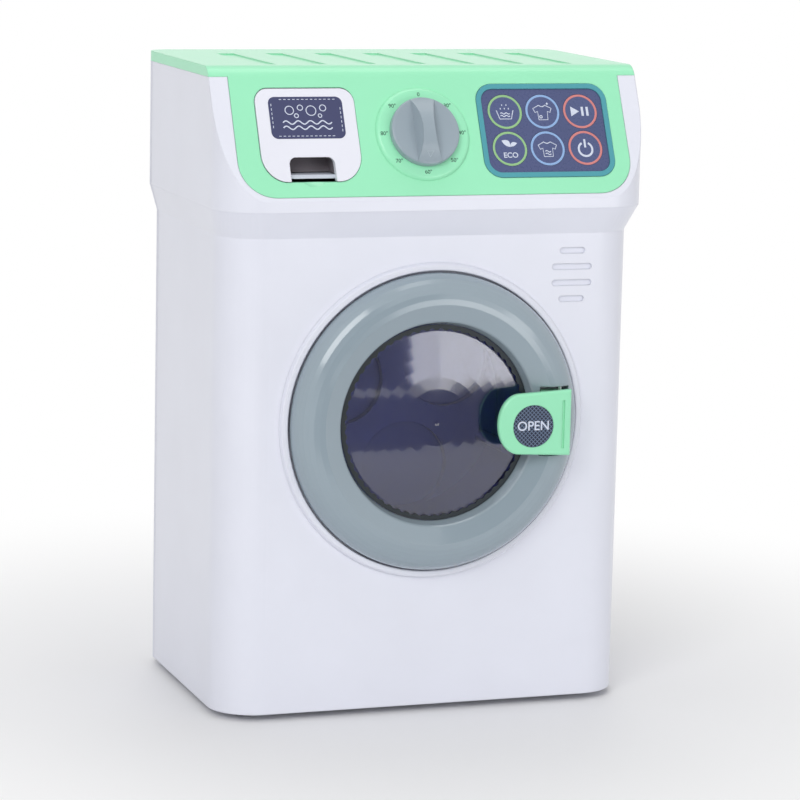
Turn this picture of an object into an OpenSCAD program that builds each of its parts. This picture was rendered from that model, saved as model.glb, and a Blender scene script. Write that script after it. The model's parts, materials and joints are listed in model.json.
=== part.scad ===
// Toy washing machine: a white moulded case with a slanted mint control panel,
// a round porthole door with a mint latch, a turning drum driven by a small motor,
// a rotary dial, a soap drawer, six short-travel keys and a battery bay at the back.
// Z is up, the front faces -Y, and the origin is on the floor under the middle of the box
// that just holds the whole toy. All sizes are in millimetres.

/* [Body] */
// Width of the white body below the panel
body_w = 190; // [184:1:210]
// Depth of the case from its front face to its back face
body_d = 122; // [120:1:150]
// Height from the floor to the mint top
body_h = 285; // [282:1:310]
// Radius of the upright front corners
front_corner_r = 20; // [12:1:24]
// Radius of the upright back corners
back_corner_r = 10; // [7:1:14]
// Wall of the white shells
wall = 2.4; // [2:0.1:2.8]
// Depth of the back cover, from the joint line to the back face
rear_d = 12; // [10:1:16]
// Height of the feet
foot_h = 3; // [2:0.5:4]
// Radius of the feet
foot_r = 7; // [5:0.5:9]

/* [Head and panel] */
// How far the head stands out past each side of the body
head_side = 3.5; // [1:0.5:6]
// How far the head stands out past the front face
head_lip = 7.5; // [4:0.5:9]
// Distance from the top down to where the slanted face starts
head_h = 55.8; // [54:0.2:60]
// Lean of the slanted face from upright
tilt = 26.4; // [22:0.2:30]
// White border at each side of the mint face
panel_side = 8.5; // [6.5:0.5:10.5]
// Radius of the two lower corners of the mint face
panel_corner_r = 16; // [10:1:20]
// Thickness of the mint plate
panel_t = 2.2; // [2:0.1:2.6]
// Height of the mint top cover above the white walls
cap_h = 4.5; // [4:0.5:6]

/* [Door] */
// Height of the middle of the door above the floor
door_z = 131; // [126:1:136]
// Radius of the door ring
door_r = 66; // [64:0.5:68]
// Height of the door ring's crest above its rim
door_rise = 10; // [9:0.5:12]
// Radius of the window at the ring's lip
window_r = 45; // [43:0.5:46]
// Height of the white bezel round the door
bezel_h = 2.5; // [1.5:0.5:3]
// Gap between the ring and the bezel
door_gap = 0.7; // [0.5:0.1:1]
// Length of the mint latch tab
latch_l = 34; // [30:1:36]
// Height of the latch tab
latch_w = 29.4; // [24:0.2:31]

/* [Drum] */
// Outer radius of the drum
drum_r = 50; // [48:0.5:51]
// Depth of the drum from its mouth to its back
drum_d = 44; // [38:1:46]
// Radius of each of the three dished lobes in the drum's back
lobe_r = 20; // [14:0.5:22]

/* [Dial] */
// Radius of the raised dial disc
dial_r = 20.9; // [18:0.1:21.5]
// Radius of the knob
knob_r = 15.4; // [13:0.1:16]
// Height of the knob above the dial
knob_h = 8; // [6:0.5:12]

/* [Drawer] */
// Width of the drawer front
drawer_w = 44.6; // [40:0.2:46]
// Height of the drawer front, measured upright
drawer_h = 38.2; // [36:0.2:39]
// Travel of the drawer
drawer_travel = 26; // [18:1:27]

/* [Keys] */
// Radius of a round key
key_r = 8; // [7:0.1:8.1]
// Travel of a key
key_travel = 0.8; // [0.4:0.1:0.8]
// Width of the key unit, over its teal frame
unit_w = 61.3; // [60:0.1:62]
// Height of the key unit along the slope
unit_h = 43.6; // [43:0.1:44]

/* [Gears] */
// Tooth size, as pitch diameter over teeth
module_size = 1; // [0.9:0.05:1]
// Teeth on the drum gear
drum_teeth = 50; // [44:2:50]
// Teeth on the big wheel of the reduction gear
wheel_teeth = 30; // [26:1:30]
// Teeth on each pinion
pinion_teeth = 10; // [9:1:11]

/* [Hidden] */
$fn = 48;

// A screw's shank runs this much inside its hole
screw_slip = 0.05;
// Turning parts run this much inside their holes
run_slip = 0.05;
// Parts of different bodies that pass each other
air = 0.3;
// Cutters reach past the faces that they cut
over = 1;

latch_rise = 14.5;
total_d = body_d + bezel_h + latch_rise;
face_y = bezel_h + latch_rise - total_d / 2;
back_y = total_d / 2;
split_y = back_y - rear_d;
rim_y = face_y - bezel_h;
top_z = body_h - cap_h;
slope_z = body_h - head_h + 2 * cos(tilt);
slope_y = face_y - head_lip + 2 * sin(tilt);
head_z = slope_z - 6.5;
flare_h = 12;
panel_w = body_w + 2 * (head_side - panel_side);
floor_in_z = foot_h + wall;
back_in_y = back_y - wall;
front_in_y = face_y + wall;

// Places and fits

// On the door: X to the right, Y up, Z out of the front, zero at the rim of the door ring
module at_door() translate([0, rim_y, door_z]) rotate([90, 0, 0]) children();

// On the slanted face: X to the right, Y up the slope, Z straight out of it
module on_slope() translate([0, slope_y, slope_z]) rotate([90 - tilt, 0, 0]) children();

// A flat shape in X and Z, pushed back along Y from y0 to y1
module along_y(y0, y1) translate([0, y1, 0]) rotate([90, 0, 0]) linear_extrude(y1 - y0) children();

// Everything in front of the slanted plane, with the plane moved out by off
module ahead_of_slope(off) on_slope() translate([-body_w, -body_h, off])
    cube([2 * body_w, 2 * body_h, body_d]);

// A square-edged plate with rounded corners: r0 at its low edge, r1 at its high edge
module rounded(x0, x1, y0, y1, r0, r1) {
    translate([x0, y0 + r0]) square([x1 - x0, y1 - y0 - r0 - r1]);
    translate([x0 + r0, y0]) square([x1 - x0 - 2 * r0, r0 + 0.01]);
    translate([x0 + r1, y1 - r1 - 0.01]) square([x1 - x0 - 2 * r1, r1 + 0.01]);
    for (x = [x0 + r0, x1 - r0]) translate([x, y0 + r0]) circle(r0);
    for (x = [x0 + r1, x1 - r1]) translate([x, y1 - r1]) circle(r1);
}

// Outline of the case seen from above, grown at the sides and front, or set in all round
module plan(side, front, in) rounded(-body_w / 2 - side + in, body_w / 2 + side - in,
    face_y - front + in, back_y - in, front_corner_r - in, back_corner_r - in);

// A round bar with a hole through it
module tube(r, bore, h) difference() {
    cylinder(r = r, h = h);
    translate([0, 0, -over]) cylinder(r = bore, h = h + 2 * over);
}

// A pan-head screw, pointing along Z, with its head under zero and a cross recess
module screw(shank_r, shank_l, head_r, head_h) {
    difference() {
        translate([0, 0, -head_h]) cylinder(r = head_r, h = head_h);
        for (a = [0, 90]) rotate(a) translate([-head_r * 0.6, -head_r * 0.12, -head_h - over])
            cube([head_r * 1.2, head_r * 0.24, head_h * 0.5 + over]);
    }
    cylinder(r = shank_r, h = shank_l);
}

// A round wire of radius r along the path p, its sides turned about the direction up
function unit(v) = v / norm(v);
function heading(p, i) = unit(p[min(i + 1, len(p) - 1)] - p[max(i - 1, 0)]);
function ring_at(p, i, r, sides, up) = let(d = heading(p, i), u = unit(cross(d, up)), w = cross(d, u))
    [for (k = [0 : sides - 1]) p[i] + r * (cos(360 * k / sides) * u + sin(360 * k / sides) * w)];

module swept(p, r, sides, up) {
    n = len(p);
    points = [for (i = [0 : n - 1]) each ring_at(p, i, r, sides, up)];
    wall_faces = [for (i = [0 : n - 2]) for (k = [0 : sides - 1]) let(j = (k + 1) % sides)
        each [[i * sides + k, (i + 1) * sides + k, i * sides + j],
              [i * sides + j, (i + 1) * sides + k, (i + 1) * sides + j]]];
    caps = [for (k = [1 : sides - 2]) each [[0, k, k + 1],
        [(n - 1) * sides, (n - 1) * sides + k + 1, (n - 1) * sides + k]]];
    polyhedron(points, concat(wall_faces, caps));
}

// A helix up Z that starts at the angle given
function helix(r, pitch, turns, steps, start) = [for (i = [0 : turns * steps])
    [r * cos(start + 360 * i / steps), r * sin(start + 360 * i / steps), pitch * i / steps]];

// A smooth path through the points p, with k steps between neighbours
function bend(a, b, c, d, t) = 0.5 * (2 * b + (c - a) * t + (2 * a - 5 * b + 4 * c - d) * t * t
    + (3 * b - a - 3 * c + d) * t * t * t);
function smooth(p, k) = concat([for (i = [0 : len(p) - 2]) for (j = [0 : k - 1])
    bend(p[max(i - 1, 0)], p[i], p[i + 1], p[min(i + 2, len(p) - 1)], j / k)], [p[len(p) - 1]]);

// Gears with plain straight-flanked teeth

module gear(teeth, h, bore, phase) {
    pitch_r = teeth * module_size / 2;
    root_r = pitch_r - 1.2 * module_size;
    tip_r = pitch_r + 0.9 * module_size;
    half = 90 / teeth;
    difference() {
        linear_extrude(h) union() {
            circle(root_r);
            for (i = [0 : teeth - 1]) rotate(phase + 360 * i / teeth) polygon([
                [root_r - 0.5, -sin(half * 1.4) * root_r], [pitch_r, -sin(half * 0.9) * pitch_r],
                [tip_r, -sin(half * 0.42) * tip_r], [tip_r, sin(half * 0.42) * tip_r],
                [pitch_r, sin(half * 0.9) * pitch_r], [root_r - 0.5, sin(half * 1.4) * root_r]]);
        }
        translate([0, 0, -over]) cylinder(r = bore, h = h + 2 * over);
    }
}

// White case

module outer_block() {
    translate([0, 0, foot_h]) linear_extrude(head_z - foot_h) plan(0, 0, 0);
    translate([0, 0, head_z]) linear_extrude(top_z - head_z) plan(head_side, head_lip, 0);
    hull() {
        translate([0, 0, head_z - flare_h]) linear_extrude(0.1) plan(0, 0, 0.1);
        translate([0, 0, head_z]) linear_extrude(0.5) plan(head_side, head_lip, 0.1);
    }
}

module inner_block() {
    translate([0, 0, floor_in_z]) linear_extrude(head_z - floor_in_z + over) plan(0, 0, wall);
    difference() {
        translate([0, 0, head_z]) linear_extrude(top_z - head_z + over) plan(head_side, head_lip, wall);
        ahead_of_slope(-2 * panel_t);
    }
}

module panel_outline(grow, high) {
    half = panel_w / 2 + grow;
    r = panel_corner_r + grow;
    translate([-half, r - grow]) square([2 * half, high - r + grow]);
    translate([-half + r, -grow]) square([2 * half - 2 * r, r + 0.01]);
    for (x = [-half + r, half - r]) translate([x, r - grow]) circle(r);
}

// Length of the slanted face up to the top of the toy
slope_l = (body_h - slope_z) / cos(tilt);
ledge = 2.5;

module case_walls() difference() {
    outer_block();
    ahead_of_slope(0);
    inner_block();
    on_slope() translate([0, 0, -panel_t]) linear_extrude(body_d) panel_outline(0.15, slope_l + 20);
    on_slope() translate([0, 0, -10]) linear_extrude(body_d) panel_outline(-ledge, slope_l + 20);
}

// Ring profile round the door opening: raised bezel, recess wall, seat and mouth tube
seat_d = 6;
seat_t = 2.4;
port_r = 54;
port_d = 14;
recess_r = door_r + door_gap;
module port_ring() rotate_extrude($fn = 180) polygon([
    [port_r, -port_d], [port_r + 2, -port_d], [port_r + 2, -seat_d - seat_t],
    [recess_r + 4, -seat_d - seat_t], [recess_r + 4, -bezel_h - 1], [recess_r + 3.4, -bezel_h],
    [recess_r + 2.9, -0.6], [recess_r + 2.3, 0], [recess_r + 0.4, 0], [recess_r, -0.4],
    [recess_r, -seat_d], [port_r, -seat_d]]);

// Case screws join the back cover to posts in the front shell
post_r = 4;
case_screw_r = 1.5;
post_places = [[-82, 22], [82, 22], [-84, top_z - 64.5], [84, top_z - 64.5]];
post_shift = (body_w - 190) / 2;
function post_x(p) = p[0] + sign(p[0]) * post_shift;

module case_posts() intersection() {
    for (p = post_places) translate([post_x(p), split_y - 0.5, p[1]]) rotate([90, 0, 0])
        cylinder(r = post_r, h = split_y - front_in_y);
    translate([0, 0, foot_h]) linear_extrude(top_z - foot_h) plan(0, 0, wall / 2);
}

module case_post_bores() for (p = post_places) translate([post_x(p), split_y + over, p[1]])
    rotate([90, 0, 0]) cylinder(r = case_screw_r + screw_slip, h = 20);

// Hinge axis of the door, just inside the ring's left edge
hinge_x = -(door_r - 3.5);
hinge_out = 2.2;
hinge_pin_r = 0.9;
knuckle_r = 2;
hinge_arm_in = 2.4;
hinge_arm_out = 6.2;
hinge_half = 11;
arm_t = 2.2;
// The arm runs from the pin to this bend, and on to this root in the seat
arm_bend = [4.7, -1.7];
arm_root = [6.5, -hinge_out - seat_d - 0.5];

// A flat bar from p to q, t thick
module bar(p, q, t) {
    n = [p[1] - q[1], q[0] - p[0]] / norm(q - p) * t / 2;
    polygon([p + n, p - n, q - n, q + n]);
}

// Two arms reach from the seat to the hinge pin, inside the back of the door ring
module hinge_arms() for (s = [-1, 1]) translate([hinge_x, s * (hinge_arm_in + hinge_arm_out) / 2,
    hinge_out])
    rotate([90, 0, 0]) linear_extrude(hinge_arm_out - hinge_arm_in, center = true) {
        circle(knuckle_r);
        bar([0, 0], arm_bend, arm_t);
        translate(arm_bend) circle(arm_t / 2);
        bar(arm_bend, arm_root, arm_t);
    }

// The latch turns on a pin across the ring's right side, and its hook stands in a slot in the seat
latch_pin_x = door_r - 9.5;
latch_pin_out = 5.5;
latch_pin_r = 1.1;
latch_pin_half = latch_w / 2 + 4.3;
hook_half = 5;
module hook_slot() translate([port_r - 2, -hook_half - 0.8, -port_d + 1.5])
    cube([latch_pin_x + 5.5 - port_r + 2, 2 * hook_half + 1.6, port_d - 6]);

// Four grooves in front of the speaker
speaker_x = body_w / 2 - 31;
speaker_z = door_z + 63.2;
groove_d = 1;
groove_h = 2.6;
groove_pitch = 7.15;
module speaker_grooves() for (i = [0 : 3]) {
    w = (i == 0 || i == 3) ? 11.8 : 18.6;
    translate([speaker_x, 0, speaker_z + (i - 1.5) * groove_pitch]) {
        translate([-w / 2 + groove_h / 2, face_y + groove_d, -groove_h / 2])
            rotate([90, 0, 0]) linear_extrude(groove_d + over) square([w - groove_h, groove_h]);
        for (s = [-1, 1]) translate([s * (w - groove_h) / 2, face_y + groove_d, 0])
            rotate([90, 0, 0]) cylinder(r = groove_h / 2, h = groove_d + over);
    }
}

// Speaker seat on the inside of the front wall, with two screw bosses beside it
speaker_r = 12;
speaker_rim = 3;
speaker_boss = speaker_r + 3.8;
module at_speaker(out) translate([speaker_x, front_in_y + out, speaker_z]) rotate([-90, 0, 0]) children();
module around_speaker() for (a = [45, 225]) rotate(a) translate([speaker_boss, 0, 0]) children();
module speaker_seat() at_speaker(-0.5) {
    cylinder(r = speaker_r + 1.8, h = speaker_rim + 0.5);
    around_speaker() cylinder(r = 2.6, h = speaker_rim + 0.5);
}

// Panel brackets on the side walls carry the mint top cover's posts
bracket_z = top_z - 15;
bracket_t = 2.4;
bracket_y = [face_y + 36, split_y - 12];
bracket_x = body_w / 2 + head_side - wall - 7.5;
module at_brackets(z) for (s = [-1, 1]) for (y = bracket_y) translate([s * bracket_x, y, z]) children();

module panel_brackets() intersection() {
    at_brackets(bracket_z - bracket_t) translate([-8, -5.5, 0]) cube([16, 11, bracket_t]);
    translate([0, 0, top_z - 30]) linear_extrude(30) plan(head_side, head_lip, wall - 0.5);
}

// Bosses behind the seat carry the outer tub
tub_r = 60;
tub_screw_ring = tub_r + 5;
tub_ear_z = -16;
module around_tub() for (a = [45 : 90 : 315]) rotate(a) translate([tub_screw_ring, 0, 0]) children();

foot_peg_r = 2;
foot_places = [for (sx = [-1, 1]) for (y = [face_y + 18, back_y - 20]) [sx * (body_w / 2 - 17), y]];
module foot_holes() for (p = foot_places) translate([p[0], p[1], foot_h - over])
    cylinder(r = foot_peg_r + 0.05, h = wall + 2 * over);

module front_shell() color([0.93, 0.93, 0.97]) {
    difference() {
        union() {
            difference() {
                case_walls();
                translate([-body_w, split_y, 0]) cube([2 * body_w, body_d, 2 * body_h]);
                at_door() translate([0, 0, -20]) cylinder(r = recess_r + 2.3, h = 40, $fn = 180);
            }
            case_posts();
            speaker_seat();
            panel_brackets();
            at_door() {
                port_ring();
                translate([0, 0, tub_ear_z]) around_tub() cylinder(r = 3.2, h = -tub_ear_z - seat_d - 1);
                hinge_arms();
            }
        }
        case_post_bores();
        at_brackets(bracket_z - bracket_t - over) cylinder(r = 1.5, h = bracket_t + 2 * over);
        foot_holes();
        speaker_grooves();
        at_speaker(0) cylinder(r = speaker_r + 0.1, h = 14);
        at_speaker(0.2) around_speaker() cylinder(r = 1 + screw_slip, h = 10);
        at_door() {
            hook_slot();
            translate([0, 0, tub_ear_z - over]) around_tub() cylinder(r = 1.25 + screw_slip, h = 8);
            cross_bar(hinge_x, hinge_out, hinge_pin_r + run_slip, hinge_half + 1);
        }
    }
}

// Back cover, with the battery bay and the switch slot

bay_w = 60;
bay_h = 34;
bay_z = 26;
bay_d = 17.5;
bay_wall = 1.6;
lid_t = 2.2;
lid_over = 3;
lid_screw_z = bay_z + bay_h + 6.5;
switch_x = -58;
switch_z = 43;
switch_travel = 4;
slider_w = 3.6;
switch_slot_h = 4.4;
switch_dish_d = 1.2;

module lid_outline(grow) rounded(-bay_w / 2 - lid_over - grow, bay_w / 2 + lid_over + grow,
    bay_z - lid_over - grow, bay_z + bay_h + 11 + grow, 3 + grow, 3 + grow);

// Two tabs under the lid hook behind the back wall
tab_w = 10;
module lid_tabs(gap) for (s = [-1, 1]) {
    translate([s * 18 - tab_w / 2 - gap, back_y - 4.1 - gap, bay_z - lid_over - 2.2 - gap])
        cube([tab_w + 2 * gap, 1.5 + 2 * gap, 3.8 + 2 * gap]);
    translate([s * 18 - tab_w / 2 - gap, back_y - 2.8, bay_z - lid_over + 0.1])
        cube([tab_w + 2 * gap, 0.7, 1.5 + gap]);
}

module rear_cover() color([0.91, 0.91, 0.96]) difference() {
    union() {
        intersection() {
            case_walls();
            translate([-body_w, split_y, 0]) cube([2 * body_w, body_d, 2 * body_h]);
        }
        // Tongues that slip inside the side walls of the front shell
        for (s = [-1, 1]) translate([s * (body_w / 2 - wall - 0.2), 0, 40]) {
            translate([s > 0 ? -1.4 : 0, split_y - 3, 0]) cube([1.4, 7, 150]);
            translate([s > 0 ? -1.4 : -1.2, split_y + 0.5, 0]) cube([2.6, 3.5, 150]);
        }
        for (p = post_places) translate([post_x(p), back_y - 0.5, p[1]]) rotate([90, 0, 0])
            cylinder(r = post_r + 1, h = rear_d - 0.5);
        translate([-bay_w / 2 - bay_wall, back_y - bay_d - bay_wall, bay_z - bay_wall])
            cube([bay_w + 2 * bay_wall, bay_d + bay_wall - 0.5, bay_h + 2 * bay_wall]);
        along_y(back_y - lid_t - 2, back_y - 0.5) lid_outline(2);
        translate([0, back_y - 0.5, lid_screw_z]) rotate([90, 0, 0]) cylinder(r = 4, h = 13);
        for (s = [-1, 1]) translate([switch_x + s * 9.7 - 0.8, back_in_y - 5, switch_z - 5])
            cube([1.6, 5.5, 10]);
    }
    for (p = post_places) translate([post_x(p), 0, p[1]]) rotate([-90, 0, 0]) {
        cylinder(r = case_screw_r + 0.15, h = back_y + over);
        translate([0, 0, back_y - 5]) cylinder(r = 3.4, h = 5 + over);
    }
    translate([-bay_w / 2, back_y - bay_d, bay_z]) cube([bay_w, bay_d + over, bay_h]);
    along_y(back_y - lid_t, back_y + over) lid_outline(0.2);
    lid_tabs(0.2);
    translate([0, back_y - 12, lid_screw_z]) rotate([-90, 0, 0]) cylinder(r = 1.25 + screw_slip, h = 20);
    // Slot for the slider, in a shallow dish
    translate([switch_x - (slider_w + switch_travel + 3.4) / 2, back_in_y - over,
        switch_z - switch_slot_h / 2])
        cube([slider_w + switch_travel + 3.4, wall + 2 * over, switch_slot_h]);
    translate([switch_x - 8, back_y - switch_dish_d, switch_z - 4.5]) cube([16, switch_dish_d + over, 9]);
}

module battery_door() color([0.91, 0.91, 0.96]) difference() {
    union() {
        along_y(back_y - lid_t, back_y) lid_outline(0);
        lid_tabs(0);
    }
    translate([0, 0, lid_screw_z]) rotate([-90, 0, 0]) {
        cylinder(r = 1.5, h = back_y + over);
        translate([0, 0, back_y - 1.2]) cylinder(r = 3, h = 5);
    }
    // Thumb grip: three shallow grooves
    for (i = [-1 : 1]) translate([-8, back_y - 0.7, bay_z + 5 + 2.6 * i]) cube([16, 1.7, 1.2]);
}

module battery_door_screw() color([0.7, 0.7, 0.72]) translate([0, back_y - 1.2, lid_screw_z])
    rotate([90, 0, 0]) screw(1.25, 9, 2.7, 1.1);

// Sprung contacts at one end of each cell, flat ones at the other
cell_z = [bay_z + 8.3, bay_z + bay_h - 8.3];
cell_y = back_y - lid_t - 8;
module battery_contacts() color([0.78, 0.76, 0.7]) {
    for (s = [-1, 1]) for (z = cell_z) translate([s * (bay_w / 2 - 0.25) - 0.25, cell_y - 5.5,
        z - 5.5]) cube([0.5, 11, 11]);
    for (i = [0, 1]) translate([(2 * i - 1) * (bay_w / 2 - 0.3), cell_y, cell_z[i]])
        rotate([0, i == 0 ? 90 : -90, 0])
        swept(helix(3.2, 1.5, 4, 10, 0), 0.35, 6, [0, 0, 1]);
}

module switch_body() color([0.15, 0.15, 0.17]) difference() {
    translate([switch_x - 8.7, back_in_y - 5, switch_z - 4]) cube([17.4, 5, 8]);
    translate([switch_x - 4.6, back_in_y - 2.6, switch_z - 2.2]) cube([9.2, 5, switch_slot_h]);
}

// The slider starts at the off end and travels along X, with two grip grooves in its top
module switch_knob() color([0.12, 0.12, 0.14]) translate([switch_x - switch_travel / 2, 0, switch_z])
    difference() {
    union() {
        translate([-slider_w / 2 - 0.4, back_in_y - 2.3, -1.9]) cube([slider_w + 0.8, 2, 3.8]);
        translate([-slider_w / 2, back_in_y - 0.5, -1.6]) cube([slider_w, wall + 0.3, 3.2]);
    }
    for (x = [-0.9, 0.5]) translate([x, back_y - 0.6, -3]) cube([0.5, 2, 6]);
}

module case_screws() color([0.7, 0.7, 0.72]) for (p = post_places)
    translate([post_x(p), back_y - 5, p[1]]) rotate([90, 0, 0]) screw(case_screw_r, 18, 2.8, 2);

module feet() color([0.25, 0.25, 0.28]) for (p = foot_places) translate([p[0], p[1], 0]) {
    cylinder(r = foot_r, h = foot_h);
    cylinder(r = foot_peg_r, h = foot_h + wall);
}

// Mint panel

// Left and low edges of the key unit on the slope
unit_x = panel_w / 2 - 68.5;
unit_s = 7.8;
unit_r = 8;
unit_border = 2.3;
key_cols = [unit_x + 12.8, unit_x + 30.5, unit_x + 48.3];
key_rows = [21.2, 38.4];
pocket_d = 1.2;
// Middle and low edge of the drawer front
drawer_x = 32.9 - panel_w / 2;
drawer_z = slope_z + 6.4;
drawer_top_r = 6;
drawer_low_r = 11;
notch_w = 20.4;
notch_h = 10;
// Middle of the dial on the slope, about halfway between the drawer and the key unit
dial = [(drawer_x + drawer_w / 2 + unit_x) / 2 + 1.25, 28.2];

module drawer_outline(grow) rounded(drawer_x - drawer_w / 2 - grow, drawer_x + drawer_w / 2 + grow,
    drawer_z - grow, drawer_z + drawer_h + grow, drawer_low_r + grow, drawer_top_r + grow);

module unit_outline(grow) rounded(unit_x - grow, unit_x + unit_w + grow, unit_s - grow,
    unit_s + unit_h + grow, unit_r + grow, unit_r + grow);

// Sliver cut off the front edge of the top to round it over
top_round = 8;
module top_round_cut() {
    edge_y = slope_y + slope_l * sin(tilt);
    back = top_round * tan(45 - tilt / 2);
    cy = edge_y + back;
    cz = body_h - top_round;
    along = [for (i = [0 : 8]) let(a = 90 + (90 - tilt) * i / 8)
        [cy + top_round * cos(a), cz + top_round * sin(a)]];
    translate([-body_w, 0, 0]) rotate([90, 0, 90]) linear_extrude(2 * body_w)
        polygon(concat(along, [[edge_y - 6, body_h - 8], [edge_y - 6, body_h + 2], [cy, body_h + 2]]));
}

board_out = -12;
board_x = unit_x - 6.5;
board_bosses = [[board_x + 3.6, 14], [board_x + 3.6, 45], [board_x + 69.2, 16], [board_x + 69.2, 45]];
sleeve_out = -5.2;
sleeve_bosses = [for (x = [drawer_x - drawer_w / 2 - 4.2, drawer_x + drawer_w / 2 + 3.8])
    for (y = [16, 40]) [x, y]];
spring_pegs = [for (s = [-1, 1]) [dial[0] + s * 10.5, dial[1] - 12.4]];
dial_rise = 1.5;
knob_boss_out = -5.7;

// Round posts under the slanted plate, down to the depth given
module posts(places, r, depth) for (p = places) translate([p[0], p[1], depth])
    cylinder(r = r, h = -depth - 0.5);
module post_holes(places, r, depth, h) for (p = places) translate([p[0], p[1], depth - over])
    cylinder(r = r, h = h + over);

module control_panel() color([0.62, 0.93, 0.76]) difference() {
    union() {
        difference() {
            union() {
                on_slope() translate([0, 0, -panel_t]) linear_extrude(panel_t)
                    panel_outline(0, slope_l - 4);
                translate([0, 0, top_z]) linear_extrude(cap_h) plan(head_side, head_lip, 0);
            }
            ahead_of_slope(0);
            top_round_cut();
            // Hollow underside of the top
            difference() {
                translate([0, 0, top_z - 8]) linear_extrude(cap_h - panel_t + 8)
                    plan(head_side, head_lip, wall);
                ahead_of_slope(-panel_t);
            }
        }
        at_brackets(bracket_z) cylinder(r = 4, h = body_h - bracket_z - 1);
        on_slope() {
            // Dial disc with a soft shoulder
            translate([dial[0], dial[1], 0]) rotate_extrude($fn = 96)
                polygon([[0, -0.5], [dial_r + 0.5, -0.5],
                [dial_r + 0.5, 0], [dial_r + 0.35, 0.5], [dial_r, 0.95], [dial_r - 0.45, dial_rise - 0.2],
                [dial_r - 1, dial_rise], [0, dial_rise]]);
            posts([dial], 7, knob_boss_out);
            posts(board_bosses, 2.6, board_out);
            posts(sleeve_bosses, 2.6, sleeve_out);
            posts(spring_pegs, 1.2, -9.8);
        }
    }
    along_y(slope_y - 20, slope_y + 60) drawer_outline(0.3);
    on_slope() {
        translate([0, 0, -pocket_d]) linear_extrude(10) unit_outline(0.15);
        translate([0, 0, -10]) linear_extrude(20) unit_outline(-3);
        translate([dial[0], dial[1], -20]) cylinder(r = knob_shaft_r + run_slip, h = 40);
        // Finger scoop under the drawer's notch
        translate([drawer_x, 11.3, 7.5]) sphere(r = 10);
        post_holes(board_bosses, 1 + screw_slip, board_out, 8);
        post_holes(sleeve_bosses, 1 + screw_slip, sleeve_out, 4.3);
    }
    // Shallow grooves across the front of the top
    for (i = [-3 : 3]) translate([23 * i - 4, slope_y + slope_l * sin(tilt) + 9, body_h - 0.6])
        cube([8, 66, 2]);
    at_brackets(bracket_z - over) cylinder(r = 1.25 + screw_slip, h = 11);
}

module panel_screws() color([0.7, 0.7, 0.72]) at_brackets(bracket_z - bracket_t) screw(1.25, 9, 2.7, 1.6);

// Key unit

module key_frame() color([0.36, 0.68, 0.7]) on_slope() translate([0, 0, -pocket_d])
    linear_extrude(pocket_d + 0.2)
    difference() {
        unit_outline(0);
        unit_outline(-unit_border);
    }

module key_plate() color([0.27, 0.29, 0.5]) on_slope() translate([0, 0, -pocket_d])
    linear_extrude(pocket_d - 0.2)
    difference() {
        unit_outline(-unit_border - 0.05);
        for (x = key_cols) for (y = key_rows) translate([x, y]) circle(key_r + 0.1);
    }

switch_top = -8.9;
key_low = -3;
module key(col, row) color([0.3, 0.32, 0.53]) on_slope() translate([key_cols[col], key_rows[row], 0]) {
    translate([0, 0, key_low]) cylinder(r = key_r, h = -0.2 - key_low);
    // Flange that keeps the key under the plate, and the stem over its switch
    translate([0, 0, key_low]) cylinder(r = key_r + 0.4, h = -pocket_d - air - key_low);
    translate([0, 0, switch_top + key_travel + 0.1]) cylinder(r = 2, h = key_low +
        0.5 - switch_top - key_travel);
}

module key_soak() key(0, 1);
module key_shirt() key(1, 1);
module key_play() key(2, 1);
module key_leaf() key(0, 0);
module key_dry() key(1, 0);
module key_power() key(2, 0);

board_t = 1.6;
module circuit_board() color([0.1, 0.42, 0.25]) on_slope() difference() {
    union() {
        translate([board_x, 9, board_out - board_t]) cube([72, 41, board_t]);
        translate([board_x + 13, 25, board_out - board_t - 2.2]) cube([12, 10, 2.3]);
        translate([board_x + 41, 26, board_out - board_t - 1.4]) cylinder(r = 4, h = 1.5);
    }
    for (p = board_bosses) translate([p[0], p[1], board_out - 5]) cylinder(r = 1.3, h = 10);
}

module key_switches() color([0.2, 0.2, 0.22]) on_slope() for (x = key_cols) for (y = key_rows)
    translate([x, y, board_out]) {
        translate([-3, -3, 0]) cube([6, 6, 2]);
        cylinder(r = 1.7, h = switch_top - board_out);
    }

module board_screws() color([0.7, 0.7, 0.72]) on_slope() for (p = board_bosses)
    translate([p[0], p[1], board_out - board_t]) screw(1.0, 8, 2.3, 1.3);

// Dial knob, its click wheel and spring

knob_shaft_r = 4;
knob_stub_r = 2.5;
wheel_out = -6.5;
wheel_t = 2.5;
// Height of the knob's disc at its rim, and how far it dips to its middle
knob_edge = 3.3;
knob_dip = 1.9;
grip_half = 5.6;
arch_r = 24;
// Two big spheres hollow the grip's sides
hollow_r = 78.2;
hollow_x = 77.6;
hollow_z = 30.4;

module knob_grip() difference() {
    intersection() {
        cylinder(r = knob_r - 0.3, h = knob_h + over);
        translate([-grip_half, 0, knob_h - arch_r]) rotate([0, 90, 0])
            cylinder(r = arch_r, h = 2 * grip_half);
        translate([-knob_r, -knob_r, 0]) cube([2 * knob_r, 2 * knob_r, knob_h + over]);
    }
    for (s = [-1, 1]) translate([s * hollow_x, 0, hollow_z]) sphere(r = hollow_r);
}

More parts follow.
